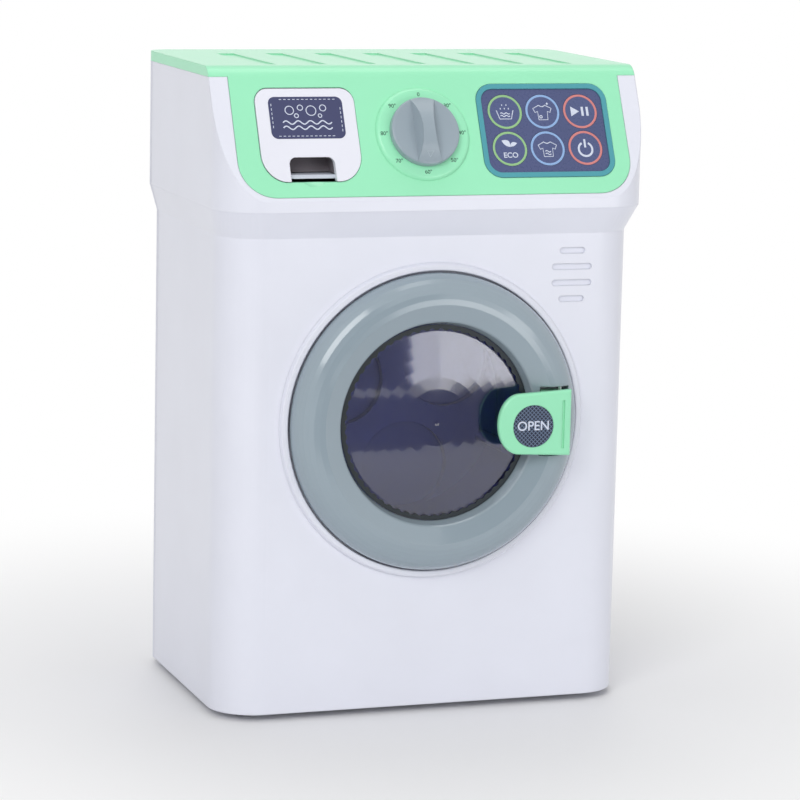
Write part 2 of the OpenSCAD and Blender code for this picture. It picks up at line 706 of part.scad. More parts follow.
module knob() color([0.6, 0.66, 0.7]) on_slope() translate([dial[0], dial[1], 0]) difference() {
    union() {
        translate([0, 0, dial_rise + air]) {
            rotate_extrude($fn = 96) polygon([[0, 0], [knob_r, 0], [knob_r, knob_edge - 0.6],
                [knob_r - 0.2, knob_edge - 0.2], [knob_r - 0.6, knob_edge], [knob_r - 1.3, knob_edge],
                [0, knob_edge - knob_dip]]);
            knob_grip();
        }
        translate([0, 0, wheel_out]) cylinder(r = knob_shaft_r, h = dial_rise + 1 - wheel_out);
        translate([0, 0, wheel_out - wheel_t]) cylinder(r = knob_stub_r, h = wheel_t + 1);
    }
    translate([0, 0, wheel_out - wheel_t - over]) cylinder(r = 1 + screw_slip, h = 7);
}

module knob_click_wheel() color([0.9, 0.9, 0.88]) on_slope()
    translate([dial[0], dial[1], wheel_out - wheel_t]) difference() {
    cylinder(r = 9, h = wheel_t);
    for (a = [0 : 45 : 315]) rotate(a) translate([0, 9.4, -over]) cylinder(r = 1.6, h = 5);
    translate([0, 0, -over]) cylinder(r = knob_stub_r + 0.02, h = 5);
}

module knob_screw() color([0.7, 0.7, 0.72]) on_slope() translate([dial[0], dial[1],
    wheel_out - wheel_t]) screw(1, 5, 3.4, 1.4);

// Leaf spring held on two pegs, with a nose that drops into the click wheel
module click_spring() color([0.75, 0.74, 0.7]) on_slope() {
    for (p = spring_pegs) translate([p[0], p[1], -9.4]) tube(1.8, 1.25, 2.8);
    translate([dial[0] - 9.5, dial[1] - 11.9, -9.4]) cube([19, 0.5, 2.8]);
    translate([dial[0], dial[1] - 10.4, -9.4]) cylinder(r = 1.1, h = 2.8);
}

// Soap drawer

tray_gap = 0.4;
tray_x0 = drawer_x - drawer_w / 2 + 3;
tray_w = drawer_w - 6;
tray_z0 = drawer_z + 3;
tray_h = drawer_h - 8;
tray_wall = 1.6;
tray_back = slope_y + drawer_travel + 26;
// Depth of the finger pocket behind the drawer's face
pull_d = 7;

// Everything behind the slanted plane, with the plane moved out by off
module behind_slope(off) on_slope() translate([-body_w, -body_h, off - 2 * body_d])
    cube([2 * body_w, 2 * body_h, 2 * body_d]);

// Finger notch in the low edge of the drawer's face
module notch() translate([drawer_x - notch_w / 2, drawer_z - 5]) {
    square([notch_w, notch_h + 2]);
    translate([3, 0]) square([notch_w - 6, notch_h + 5]);
    for (x = [3, notch_w - 3]) translate([x, notch_h + 2]) circle(3);
}

module drawer_front() color([0.95, 0.95, 0.98]) difference() {
    intersection() {
        along_y(slope_y - 20, slope_y + 60) drawer_outline(0);
        on_slope() translate([-body_w, -20, -panel_t]) cube([2 * body_w, 100, panel_t + 0.4]);
    }
    along_y(slope_y - 20, slope_y + 60) notch();
}

module drawer_tray() color([0.42, 0.41, 0.43]) difference() {
    intersection() {
        translate([tray_x0, slope_y - 10, tray_z0]) cube([tray_w, tray_back - slope_y + 10, tray_h]);
        behind_slope(-panel_t);
    }
    // Finger pocket behind the notch
    intersection() {
        along_y(slope_y - 20, slope_y + 60) notch();
        ahead_of_slope(-panel_t - pull_d);
    }
    // Powder well, open upwards
    intersection() {
        translate([tray_x0 + tray_wall, slope_y - 10, tray_z0 + tray_wall])
            cube([tray_w - 2 * tray_wall, tray_back - slope_y + 10 - tray_wall, tray_h]);
        behind_slope(-panel_t - pull_d - 3);
    }
}

sleeve_t = 1.6;
module drawer_sleeve() color([0.9, 0.9, 0.94]) {
    out = tray_gap + sleeve_t;
    difference() {
        union() {
            intersection() {
                translate([tray_x0 - out, slope_y - 10, tray_z0 - out])
                    cube([tray_w + 2 * out, tray_back + out - slope_y + 10, tray_h + out]);
                behind_slope(-panel_t);
            }
            // Ears that screw to the posts under the slanted plate
            on_slope() for (p = sleeve_bosses) translate([p[0], p[1], sleeve_out - 2]) {
                cylinder(r = 3.4, h = 2);
                translate([p[0] < drawer_x ? 0 : -6, -3.4, 0]) cube([6, 6.8, 2]);
            }
        }
        translate([tray_x0 - tray_gap, slope_y - 20, tray_z0 - tray_gap])
            cube([tray_w + 2 * tray_gap, tray_back + tray_gap - slope_y + 20, tray_h + 20]);
        on_slope() post_holes(sleeve_bosses, 1.2, sleeve_out - 2, 3);
    }
}

module sleeve_screws() color([0.7, 0.7, 0.72]) on_slope() for (p = sleeve_bosses)
    translate([p[0], p[1], sleeve_out - 2]) screw(1, 5.5, 2.2, 1.3);

// Door

crest_r = door_r - 13;
skin = 2.2;
// How far the ring's inner lip is below its crest
lip_drop = 3;
flange_r = window_r + 1.3;
flange_t = 1.6;
function quarter(r, h, from, to) = [for (i = [0 : 8]) let(t = from + (to - from) * i / 8)
    [crest_r + r * cos(t), h * sin(t)]];
ring_face = concat(quarter(door_r - crest_r, door_rise, 0, 90),
    [[window_r + 0.6, door_rise - lip_drop], [window_r, door_rise - lip_drop - 0.7]]);

// The ring as a solid block, which trims what is added under its skin
module ring_block() rotate_extrude($fn = 180) polygon(concat([[window_r, 0]], ring_face));

module ring_skin() rotate_extrude($fn = 180) polygon(concat(ring_face,
    [[window_r - 1.4, flange_t], [window_r + 0.6, flange_t], [window_r + 2, door_rise - lip_drop - 2]],
    quarter(door_r - crest_r - skin, door_rise - skin, 90, 0)));

// A round bar across the door, at the place given, reaching half above and half below its middle
module cross_bar(x, out, r, half) translate([x, -half, out]) rotate([-90, 0, 0])
    cylinder(r = r, h = 2 * half);

door_screw_ring = 55.5;
module around_door() for (a = [50, 130, 230, 310]) rotate(a) translate([door_screw_ring, 0, 0])
    children();

latch_gap = 0.7;
module door_ring() color([0.58, 0.65, 0.68]) at_door() difference() {
    union() {
        difference() {
            ring_skin();
            // Opening for the latch's root
            translate([latch_pin_x - 10.2, -latch_w / 2 - latch_gap, -over])
                cube([13.7, latch_w + 2 * latch_gap, 20]);
            // Room for the hinge arms
            cross_bar(hinge_x, hinge_out, knuckle_r + 0.35, hinge_arm_out + 0.4);
            translate([hinge_x - 2.5, -hinge_arm_out - 0.4, -over])
                cube([12, 2 * hinge_arm_out + 0.8, 2.4]);
        }
        intersection() {
            ring_block();
            union() {
                around_door() cylinder(r = 2.8, h = door_rise);
                // Blocks for the ends of the latch pin and of the hinge pin
                for (s = [-1, 1]) translate([latch_pin_x - 3.2, s * (latch_w / 2 + latch_gap + 2.5)
                    - 2.5, 1.2])
                    cube([6.4, 5, door_rise]);
                for (s = [-1, 1]) translate([hinge_x - 2, s * 9.3 - 2.5, 0.2]) cube([4, 5, door_rise]);
            }
        }
    }
    translate([0, 0, -over]) around_door() cylinder(r = 1.25 + screw_slip, h = 6);
    cross_bar(latch_pin_x, latch_pin_out, latch_pin_r + 0.02, latch_pin_half + 0.2);
    cross_bar(hinge_x, hinge_out, hinge_pin_r + run_slip, hinge_half + 0.2);
}

// Glass pane with a shallow dome inside a flat flange
pane_r = window_r - 4.6;
dome_h = 2.6;
function dome(h, base, steps) = [for (i = [0 : steps]) let(x = pane_r * i / steps)
    [x, base + h * (1 - pow(x / pane_r, 2))]];
module door_window() color([0.17, 0.2, 0.38, 0.6]) at_door() rotate_extrude($fn = 180)
    polygon(concat(dome(dome_h, flange_t, 8), [[flange_r, flange_t], [flange_r, 0]],
        [for (i = [8 : -1 : 0]) dome(dome_h - 0.2, 0, 8)[i]]));

back_t = 2.4;
plug_d = 8;
rim_d = seat_d - air;
module door_back() color([0.9, 0.9, 0.94]) at_door() difference() {
    rotate_extrude($fn = 180) polygon([[window_r - 1, -back_t], [window_r + 2, -back_t],
        [window_r + 2, -plug_d], [window_r + 4, -plug_d], [window_r + 4.5, -back_t],
        [door_r - 6, -back_t], [door_r - 6, -rim_d], [door_r - 3.2, -rim_d], [door_r - 3.2, -back_t],
        [door_r - 2.6, -back_t], [door_r - 2.6, 0], [window_r - 1, 0]]);
    translate([0, 0, -5]) around_door() cylinder(r = 1.4, h = 10);
    // Slots for the hinge arms and for the latch hook
    translate([hinge_x - 8, -7, -10]) cube([20.5, 14, 20]);
    translate([latch_pin_x - 1.5, -hook_half - 0.8, -10]) cube([15, 2 * hook_half + 1.6, 20]);
}

module door_screws() color([0.7, 0.7, 0.72]) at_door() translate([0, 0, -back_t]) around_door()
    screw(1.25, 6.5, 2.4, 1.4);

module door_hinge_pin() color([0.75, 0.75, 0.78]) at_door()
    cross_bar(hinge_x, hinge_out, hinge_pin_r, hinge_half);

// Latch: a broad tab over the ring, a root on the pin, and a hook through the door's back

latch_right = latch_pin_x + 2.5;
latch_left = latch_right - latch_l;
latch_t = 2.5;
// How much narrower each edge is at the tab's rounded end, and how long that end is
latch_taper = 1.25;
latch_nose = 10;
// Round recess for the sticker
sticker_x = latch_left + 16.2;
sticker_y = -1;
sticker_r = 9.5;
sticker_d = 0.2;
root_out = 2.5;
hook_x = latch_pin_x + 1.9;
hook_t = 2.4;
hook_end = -10.8;
coil_y = 6.5;

// Slice of the tab at the height z, set in all round
module latch_slice(in, z) translate([0, 0, z]) linear_extrude(0.01) polygon(concat(
    [[latch_right - in, in - latch_w / 2], [latch_right - in, latch_w / 2 - in]],
    [for (i = [0 : 24]) let(a = 90 + 7.5 * i) [latch_left + latch_nose + (latch_nose - in) * cos(a),
        (latch_w / 2 - latch_taper - in) * sin(a)]]));

module latch() color([0.6, 0.93, 0.76]) at_door() difference() {
    union() {
        // Tab with a rounded edge
        hull() {
            latch_slice(0, latch_rise - latch_t);
            latch_slice(0, latch_rise - 0.9);
            latch_slice(0.3, latch_rise - 0.35);
            latch_slice(0.9, latch_rise - 0.01);
        }
        translate([latch_pin_x - 9.5, latch_taper - latch_w / 2, root_out])
            cube([12, latch_w - 2 * latch_taper, latch_rise - root_out - 1]);
        translate([latch_pin_x, -hook_half, root_out - 1])
            cube([hook_x + hook_t - latch_pin_x, 2 * hook_half, 3]);
        translate([hook_x, -hook_half, hook_end]) cube([hook_t, 2 * hook_half, root_out - hook_end]);
    }
    cross_bar(latch_pin_x, latch_pin_out, latch_pin_r + run_slip, latch_w);
    translate([latch_pin_x - 3.2, coil_y, 0]) cube([10, 6, latch_pin_out + 3.3]);
    // Groove down the face over the pin
    translate([latch_pin_x - 1.8, -11.3, latch_rise - 0.6]) cube([1.1, 21.2, 2]);
    translate([sticker_x, sticker_y, latch_rise - sticker_d]) cylinder(r = sticker_r, h = 1, $fn = 96);
}

module latch_pin() color([0.75, 0.75, 0.78]) at_door() cross_bar(latch_pin_x, latch_pin_out,
    latch_pin_r, latch_pin_half);

// Coil round the latch pin, with one leg on the door's back and a short leg under the latch
coil_r = 2;
coil_turns = 5;
coil_pitch = 0.9;
module latch_spring() color([0.75, 0.74, 0.7]) at_door()
    translate([latch_pin_x, coil_y + 0.7, latch_pin_out])
    rotate([-90, 0, 0]) swept(concat([[-coil_r, latch_pin_out - 0.3, 0], [-coil_r, 1.2, 0]],
        helix(coil_r, coil_pitch, coil_turns, 12, 180), [[-coil_r, -1, coil_turns * coil_pitch]]), 0.3,
            6, [0, 0, 1]);

// Drum, its tub and its drive, all about the door's own axis

mouth_z = -12.5;
drum_t = 2;
drum_floor = 6.5;
// Depth kept behind the drum for its drive and the wires
drive_d = 78;
drum_l = min(drum_d, body_d - drive_d);
drum_back = mouth_z - drum_l;
lobe_ring = 29;
shaft_r = 3;
hub_t = 2.5;
tub_t = 2;
tub_mouth = -12.2;
tub_floor = drum_back - 5.5;
tub_back = tub_floor - 2.4;
boss_back = tub_back - 3.6;
plate_front = tub_back - 16.6;
plate_t = 2;
gear_front = tub_back - 6.6;
gear_play = 0.05;
axle_r = 1.5;
motor_shaft_r = 1;
// The reduction gear sits at this angle from the drum's axis, and the motor straight below it
drive_angle = -30;
reduction_at = ((drum_teeth + pinion_teeth) * module_size / 2 + gear_play) *
    [cos(drive_angle), sin(drive_angle)];
motor_at = reduction_at - [0, (wheel_teeth + pinion_teeth) * module_size / 2 + gear_play];
pillars = [[-26, -16], [20, 24], [46, -3], [6, -46]];

module drum() color([0.86, 0.87, 0.9]) at_door() difference() {
    union() {
        difference() {
            rotate_extrude($fn = 180) polygon([[0, drum_back], [drum_r - 1, drum_back],
                [drum_r, drum_back + 1],
                [drum_r, mouth_z - 0.6], [drum_r - 0.6, mouth_z], [drum_r - drum_t + 0.6, mouth_z],
                [drum_r - drum_t, mouth_z - 0.6], [drum_r - drum_t, drum_back + drum_floor],
                [0, drum_back + drum_floor]]);
            // Three dished lobes in the floor
            intersection() {
                for (a = [38, 158, 278]) rotate(a) translate([lobe_ring, 0, drum_back + 2])
                    cylinder(r = lobe_r, h = 10);
                translate([0, 0, drum_back]) cylinder(r = drum_r - drum_t, h = 20);
            }
        }
        // Three lifters along the wall
        for (a = [98, 218, 338]) rotate(a) translate([drum_r - drum_t - 4.5, 0, drum_back + 3]) {
            cylinder(r = 2.5, h = drum_l - 8);
            translate([0, -2.5, 0]) cube([5.5, 5, drum_l - 8]);
        }
        translate([0, 0, drum_back - hub_t]) cylinder(r = 7, h = hub_t + 1);
    }
    translate([0, 0, drum_back - hub_t - over]) cylinder(r = shaft_r + 0.02, h = hub_t + over + 4);
}

module drum_shaft() color([0.75, 0.75, 0.78]) at_door() translate([0, 0, plate_front - plate_t - 0.6])
    cylinder(r = shaft_r, h = drum_back + 3.9 - plate_front + plate_t + 0.6);

module drum_bush() color([0.72, 0.6, 0.38]) at_door() difference() {
    union() {
        translate([0, 0, boss_back - 1]) cylinder(r = 5, h = tub_floor - boss_back + 1);
        translate([0, 0, tub_floor]) cylinder(r = 7, h = 1.5);
    }
    translate([0, 0, boss_back - 2]) cylinder(r = shaft_r + run_slip, h = 30);
}

module outer_tub() color([0.8, 0.82, 0.86]) at_door() difference() {
    union() {
        rotate_extrude($fn = 180) polygon([[tub_r - tub_t, tub_mouth], [tub_r, tub_mouth],
            [tub_r, tub_back],
            [8, tub_back], [8, boss_back], [4, boss_back], [4, tub_floor], [tub_r - tub_t, tub_floor]]);
        translate([0, 0, tub_ear_z - 2.4]) around_tub() {
            cylinder(r = 4.4, h = 2.4);
            translate([tub_r - 1 - tub_screw_ring, -4.4, 0]) cube([tub_screw_ring - tub_r + 1, 8.8, 2.4]);
        }
        for (p = pillars) translate([p[0], p[1], plate_front])
            cylinder(r = 3.2, h = tub_back - plate_front + 1);
        translate([reduction_at[0], reduction_at[1], gear_front + 0.7]) cylinder(r = 3.6, h = 6);
    }
    translate([0, 0, boss_back - over]) cylinder(r = 5.02, h = 10);
    translate([0, 0, tub_ear_z - 5]) around_tub() cylinder(r = 1.5, h = 10);
    for (p = pillars) translate([p[0], p[1], plate_front - over]) cylinder(r = 1.25 + screw_slip, h = 9);
    translate([reduction_at[0], reduction_at[1], gear_front]) cylinder(r = axle_r + 0.02, h = 5);
}

module tub_screws() color([0.7, 0.7, 0.72]) at_door() translate([0, 0, tub_ear_z - 2.4]) around_tub()
    screw(1.25, 8, 2.6, 1.6);

module drum_gear() color([0.9, 0.9, 0.86]) at_door() {
    translate([0, 0, gear_front - 4]) gear(drum_teeth, 4, shaft_r + 0.02, drive_angle);
    translate([0, 0, gear_front - 6]) tube(6, shaft_r + 0.02, 2);
}

module reduction_gear() color([0.9, 0.9, 0.86]) at_door()
    translate([reduction_at[0], reduction_at[1], 0]) {
    translate([0, 0, gear_front - 4.5]) gear(pinion_teeth, 4.5, axle_r + run_slip, drive_angle + 180 +
        180 / pinion_teeth);
    translate([0, 0, gear_front - 5.5]) tube(3.6, axle_r + run_slip, 1);
    translate([0, 0, gear_front - 8.5]) gear(wheel_teeth, 3, axle_r + run_slip, -90);
}

module reduction_axle() color([0.75, 0.75, 0.78]) at_door()
    translate([reduction_at[0], reduction_at[1], plate_front - plate_t])
    cylinder(r = axle_r, h = gear_front + 4.5 - plate_front + plate_t);

module gear_plate() color([0.82, 0.83, 0.87]) at_door() difference() {
    translate([0, 0, plate_front - plate_t]) linear_extrude(plate_t)
        polygon([[-31, -21], [-31, -11], [15, 29], [24, 29], [51, 2], [51, -8], [39, -50], [2, -51]]);
    translate([0, 0, plate_front - 5]) {
        cylinder(r = shaft_r + run_slip, h = 10);
        for (p = pillars) translate([p[0], p[1], 0]) cylinder(r = 1.5, h = 10);
        translate([reduction_at[0], reduction_at[1], 0]) cylinder(r = axle_r + 0.02, h = 10);
        translate([motor_at[0], motor_at[1], 0]) cylinder(r = 3.05, h = 10);
        for (s = [-1, 1]) translate([motor_at[0] + s * 8, motor_at[1], 0]) cylinder(r = 1.15, h = 10);
    }
}

module gear_plate_screws() color([0.7, 0.7, 0.72]) at_door() translate([0, 0, plate_front - plate_t])
    for (p = pillars) translate([p[0], p[1], 0]) screw(1.25, 8, 2.6, 1.6);

motor_l = 25;
module motor() color([0.72, 0.73, 0.75]) at_door() translate([motor_at[0], motor_at[1],
    plate_front - plate_t]) difference() {
    union() {
        translate([0, 0, -motor_l]) linear_extrude(motor_l) intersection() {
            circle(10);
            square([30, 15], center = true);
        }
        cylinder(r = 3, h = plate_t);
        for (s = [-1, 1]) translate([s * 5 - 1, -0.2, -motor_l - 3]) cube([2, 0.4, 4]);
    }
    translate([0, 0, -15]) cylinder(r = motor_shaft_r + run_slip, h = 20);
    for (s = [-1, 1]) translate([s * 8, 0, -3]) cylinder(r = 1 + screw_slip, h = 5);
}

module motor_screws() color([0.7, 0.7, 0.72]) at_door() for (s = [-1, 1])
    translate([motor_at[0] + s * 8, motor_at[1], plate_front]) rotate([180, 0, 0])
        screw(1, 4.5, 1.8, 0.9);

module motor_shaft() color([0.75, 0.75, 0.78]) at_door()
    translate([motor_at[0], motor_at[1], plate_front - plate_t - 14])
    cylinder(r = motor_shaft_r, h = plate_t + 14 + 5.2);

module motor_pinion() color([0.72, 0.6, 0.38]) at_door()
    translate([motor_at[0], motor_at[1], plate_front + 1])
    gear(pinion_teeth, 4.2, motor_shaft_r + 0.02, 90 + 180 / pinion_teeth);

// Speaker and wires

speaker_back = 10;
module speaker() color([0.3, 0.3, 0.33]) at_speaker(0) rotate_extrude() polygon([[0, 4], [3, 4.6],
    [speaker_r - 3, 1], [speaker_r - 2, 0], [speaker_r, 0], [speaker_r, speaker_rim],
    [speaker_r - 1.5, speaker_rim], [speaker_r - 4.5, 6], [speaker_r - 4.5, speaker_back],
    [0, speaker_back]]);

module speaker_screws() color([0.7, 0.7, 0.72]) at_speaker(speaker_rim) around_speaker()
    rotate([180, 0, 0]) screw(1, 2.5, 4.6, 1.2);

// A pair of insulated wires along the points given
module wire_pair(p, side) for (s = [-1, 1]) swept(smooth([for (q = p) q + s * 0.85 * side], 5), 0.65,
    6, side);

// A place behind the circuit board, at x across it and d out from its back
board_back_y = slope_y + 30 * sin(tilt) - (board_out - board_t) * cos(tilt);
board_back_z = slope_z + 30 * cos(tilt) + (board_out - board_t) * sin(tilt);
function behind_board(x, d) = [unit_x + x, board_back_y + d * cos(tilt), board_back_z - d * sin(tilt)];

// The wires run up in front of the back cover
lane_y = back_in_y - 5.1;
bay_top = bay_z + bay_h;
terminal_y = rim_y - plate_front + plate_t + motor_l + 4;
speaker_end_y = front_in_y + speaker_back;
module wiring() color([0.75, 0.2, 0.18]) {
    // Battery bay to board
    wire_pair([[24, lane_y - 5, bay_top + 1.7], [24, lane_y - 4, 74], [40, lane_y, 112],
        [52, lane_y, 170],
        [62, 42, 222], [unit_x + 40.5, -8, 252], behind_board(39.5, 4), behind_board(39.5, 0.35)],
            [1, 0, 0]);
    // Motor to board
    wire_pair([[motor_at[0], terminal_y, door_z + motor_at[1]], [30, lane_y - 2, 108],
        [44, lane_y - 1, 136],
        [50, lane_y - 6, 182], [55, 32, 226], [unit_x + 33.5, -8, 249], behind_board(28.5, 4),
        behind_board(28.5, 0.35)], [1, 0, 0]);
    // Speaker to board
    wire_pair([[speaker_x, speaker_end_y + 0.6, speaker_z], [speaker_x, speaker_end_y + 5, speaker_z + 6],
        [speaker_x + 2, -28, 222], [unit_x + 48.5, -25, 240], behind_board(48.5, 4),
        behind_board(48.5, 0.35)], [1, 0, 0]);
    // Power switch to battery bay
    wire_pair([[switch_x + 7, back_in_y - 4, switch_z + 4.3], [switch_x + 9, back_in_y - 5, switch_z + 9],
        [-40, back_in_y - 6, bay_top - 4], [-bay_w / 2 - bay_wall - 0.8, back_in_y - 7, bay_top - 4]],
        [0, 1, 0]);
}

front_shell();
rear_cover();
control_panel();
feet();
case_screws();
panel_screws();
door_ring();
door_window();
door_back();
door_screws();
door_hinge_pin();
latch();
latch_pin();
latch_spring();
outer_tub();
tub_screws();
drum();
drum_shaft();
drum_bush();
drum_gear();
reduction_gear();
reduction_axle();
gear_plate();
gear_plate_screws();
motor();
motor_screws();
motor_shaft();
motor_pinion();
knob();
knob_click_wheel();
knob_screw();
click_spring();
drawer_front();
drawer_tray();
drawer_sleeve();
sleeve_screws();
key_frame();
key_plate();
key_soak();
key_shirt();
key_play();
key_leaf();
key_dry();
key_power();
circuit_board();
key_switches();
board_screws();
speaker();
speaker_screws();
battery_door();
battery_door_screw();
battery_contacts();
switch_body();
switch_knob();
wiring();
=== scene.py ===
# %% [markdown]
# # A toy washing machine
# The toy is a white box with a mint panel on top, a grey porthole door and a dial. Its moving
# parts come ready-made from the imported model. This script gives them their finishes, adds the
# signs that are printed on them, and lights them as in a small photo studio.

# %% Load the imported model
import json
import math

import bmesh
import bpy
from mathutils import Matrix, Vector


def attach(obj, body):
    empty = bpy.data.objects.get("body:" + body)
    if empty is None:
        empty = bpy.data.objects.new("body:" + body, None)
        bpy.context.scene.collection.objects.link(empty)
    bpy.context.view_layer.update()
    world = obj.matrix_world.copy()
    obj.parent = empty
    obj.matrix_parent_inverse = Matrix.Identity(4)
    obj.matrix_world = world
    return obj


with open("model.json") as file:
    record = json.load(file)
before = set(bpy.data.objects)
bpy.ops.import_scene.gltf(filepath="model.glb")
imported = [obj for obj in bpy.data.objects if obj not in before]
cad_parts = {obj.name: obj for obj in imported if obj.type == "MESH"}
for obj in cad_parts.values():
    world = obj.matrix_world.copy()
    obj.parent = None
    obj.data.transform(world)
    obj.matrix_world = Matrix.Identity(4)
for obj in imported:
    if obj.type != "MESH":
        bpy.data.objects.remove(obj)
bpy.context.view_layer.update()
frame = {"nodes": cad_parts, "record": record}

# %% [markdown]
# ## The camera
# A long lens far away keeps the box's edges nearly parallel. The camera stands low on the left
# and is rolled by about a degree. Its three axes are set straight into its matrix, because
# a matrix says exactly where it looks, with no target object to keep.

# %% Set up the camera
EYE = Vector((-0.4921, -1.4154, 0.3888))
LOOK_BACK = Vector((-0.32560, -0.93023, 0.16925)).normalized()
LEVEL_RIGHT = Vector((0.94385, -0.33037, 0.0)).normalized()
ROLL = math.radians(1.271)
SENSOR_WIDTH, LENS = 36.0, 151.06
level_up = LOOK_BACK.cross(LEVEL_RIGHT)
right = math.cos(ROLL) * LEVEL_RIGHT + math.sin(ROLL) * level_up
up = LOOK_BACK.cross(right)
camera_data = bpy.data.cameras.new("camera")
camera_data.sensor_width = SENSOR_WIDTH
camera_data.lens = LENS
camera_data.clip_end = 20.0
camera = bpy.data.objects.new("camera", camera_data)
camera_turn = Matrix((right, up, LOOK_BACK)).transposed().to_4x4()
camera.matrix_world = Matrix.Translation(EYE) @ camera_turn
bpy.context.collection.objects.link(camera)
scene = bpy.context.scene
scene.camera = camera
scene.view_settings.view_transform = "Standard"
print("camera at", tuple(round(v, 3) for v in EYE))

# %% [markdown]
# ## Places
# The panel leans back, so its signs are drawn flat in millimetres and then laid on the slope.
# Each place is a matrix: the first column runs to the right, the second runs up the face and
# the third points out of it. The door has a matrix of its own.

# %% Matrices for the slope and for the door
MM = 0.001
TILT = math.radians(26.4)
SLOPE_Y, SLOPE_Z = -59.1107, 230.9914
DOOR_RIM_Y, DOOR_Z = -55.0, 131.0


def placed(origin, along, upward):
    """A matrix that lays a drawing in millimetres on a face in metres."""
    axes = Matrix((along, upward, along.cross(upward))).transposed().to_4x4()
    return Matrix.Translation(origin * MM) @ axes @ Matrix.Scale(MM, 4)


def on_slope(x, s, out=0.0):
    upward = Vector((0.0, math.sin(TILT), math.cos(TILT)))
    normal = Vector((0.0, -math.cos(TILT), math.sin(TILT)))
    origin = Vector((x, SLOPE_Y, SLOPE_Z)) + s * upward + out * normal
    return placed(origin, Vector((1, 0, 0)), upward)


def on_door(x, z, out=0.0):
    origin = Vector((x, DOOR_RIM_Y - out, DOOR_Z + z))
    return placed(origin, Vector((1, 0, 0)), Vector((0, 0, 1)))


print("slope middle:", on_slope(0, 28).translation)

# %% [markdown]
# ## A finish for moulded plastic
# Toy plastic is never one flat colour. It has a fine grain from the mould, faint cloudy
# changes of tone where it cooled, and a gloss that varies a little. No moulded edge is a
# knife edge either: a Bevel node turns the light softly round each one, which costs no faces.
# One node group makes all of this, and each material places it with its own values. The
# shader stays in the material.

# %% The moulded-plastic node group
def paint(red, green, blue):
    """A colour as it is read off a screen, 0 to 255, made linear for the shader."""
    return tuple(
        c / 12.92 if c <= 0.04045 else ((c + 0.055) / 1.055) ** 2.4
        for c in (red / 255, green / 255, blue / 255)
    ) + (1.0,)


def new_group(name, inputs, outputs):
    group = bpy.data.node_groups.new(name, "ShaderNodeTree")
    for label, kind, value in inputs:
        socket = group.interface.new_socket(label, in_out="INPUT", socket_type=kind)
        if value is not None:
            socket.default_value = value
    for label, kind in outputs:
        group.interface.new_socket(label, in_out="OUTPUT", socket_type=kind)
    return group, group.nodes.new("NodeGroupInput"), group.nodes.new("NodeGroupOutput")


def linked(group, kind, links=(), **values):
    """A new node with its plain values set and its named inputs linked."""
    node = group.nodes.new(kind)
    for key, value in values.items():
        setattr(node, key, value)
    for socket, source in links:
        if hasattr(source, "is_linked"):
            group.links.new(source, node.inputs[socket])
        else:
            node.inputs[socket].default_value = source
    return node


moulded, given, made = new_group(
    "moulded_surface",
    [("Vector", "NodeSocketVector", None), ("Color", "NodeSocketColor", (1, 1, 1, 1)),
     ("Roughness", "NodeSocketFloat", 0.35), ("Grain Scale", "NodeSocketFloat", 2500.0),
     ("Grain Depth", "NodeSocketFloat", 0.1), ("Clouds", "NodeSocketFloat", 0.03),
     ("Edge Radius", "NodeSocketFloat", 0.0004)],
    [("Color", "NodeSocketColor"), ("Roughness", "NodeSocketFloat"),
     ("Normal", "NodeSocketVector")],
)
CLOUD_SCALE = 28.0
GRAIN_HEIGHT = 0.00005
grain = linked(moulded, "ShaderNodeTexNoise", [
    ("Vector", given.outputs["Vector"]), ("Scale", given.outputs["Grain Scale"]), ("Detail", 3.0)])
clouds = linked(moulded, "ShaderNodeTexNoise", [
    ("Vector", given.outputs["Vector"]), ("Scale", CLOUD_SCALE), ("Detail", 4.0)])
darker = linked(moulded, "ShaderNodeMath", [(0, 1.0), (1, given.outputs["Clouds"])],
                operation="SUBTRACT")
tone = linked(moulded, "ShaderNodeMapRange", [
    ("Value", clouds.outputs["Fac"]), ("From Min", 0.3), ("From Max", 0.7),
    ("To Min", darker.outputs[0]), ("To Max", 1.0)])
shade = linked(moulded, "ShaderNodeVectorMath", [
    (0, given.outputs["Color"]), ("Scale", tone.outputs[0])], operation="SCALE")
swing = linked(moulded, "ShaderNodeMath", [(0, grain.outputs["Fac"]), (1, 0.5)],
               operation="SUBTRACT")
gloss = linked(moulded, "ShaderNodeMath", [
    (0, swing.outputs[0]), (1, given.outputs["Grain Depth"])], operation="MULTIPLY")
rough = linked(moulded, "ShaderNodeMath", [
    (0, given.outputs["Roughness"]), (1, gloss.outputs[0])], operation="ADD")
soft_edge = linked(moulded, "ShaderNodeBevel", [("Radius", given.outputs["Edge Radius"])],
                   samples=4)
bump = linked(moulded, "ShaderNodeBump", [
    ("Height", grain.outputs["Fac"]), ("Normal", soft_edge.outputs["Normal"]),
    ("Strength", given.outputs["Grain Depth"]), ("Distance", GRAIN_HEIGHT)])
moulded.links.new(shade.outputs[0], made.inputs["Color"])
moulded.links.new(rough.outputs[0], made.inputs["Roughness"])
moulded.links.new(bump.outputs["Normal"], made.inputs["Normal"])
print("group:", moulded.name, "with", len(moulded.nodes), "nodes")


# %% Materials made with the group
PLASTIC_IOR = 1.47
COAT_ROUGHNESS = 0.08


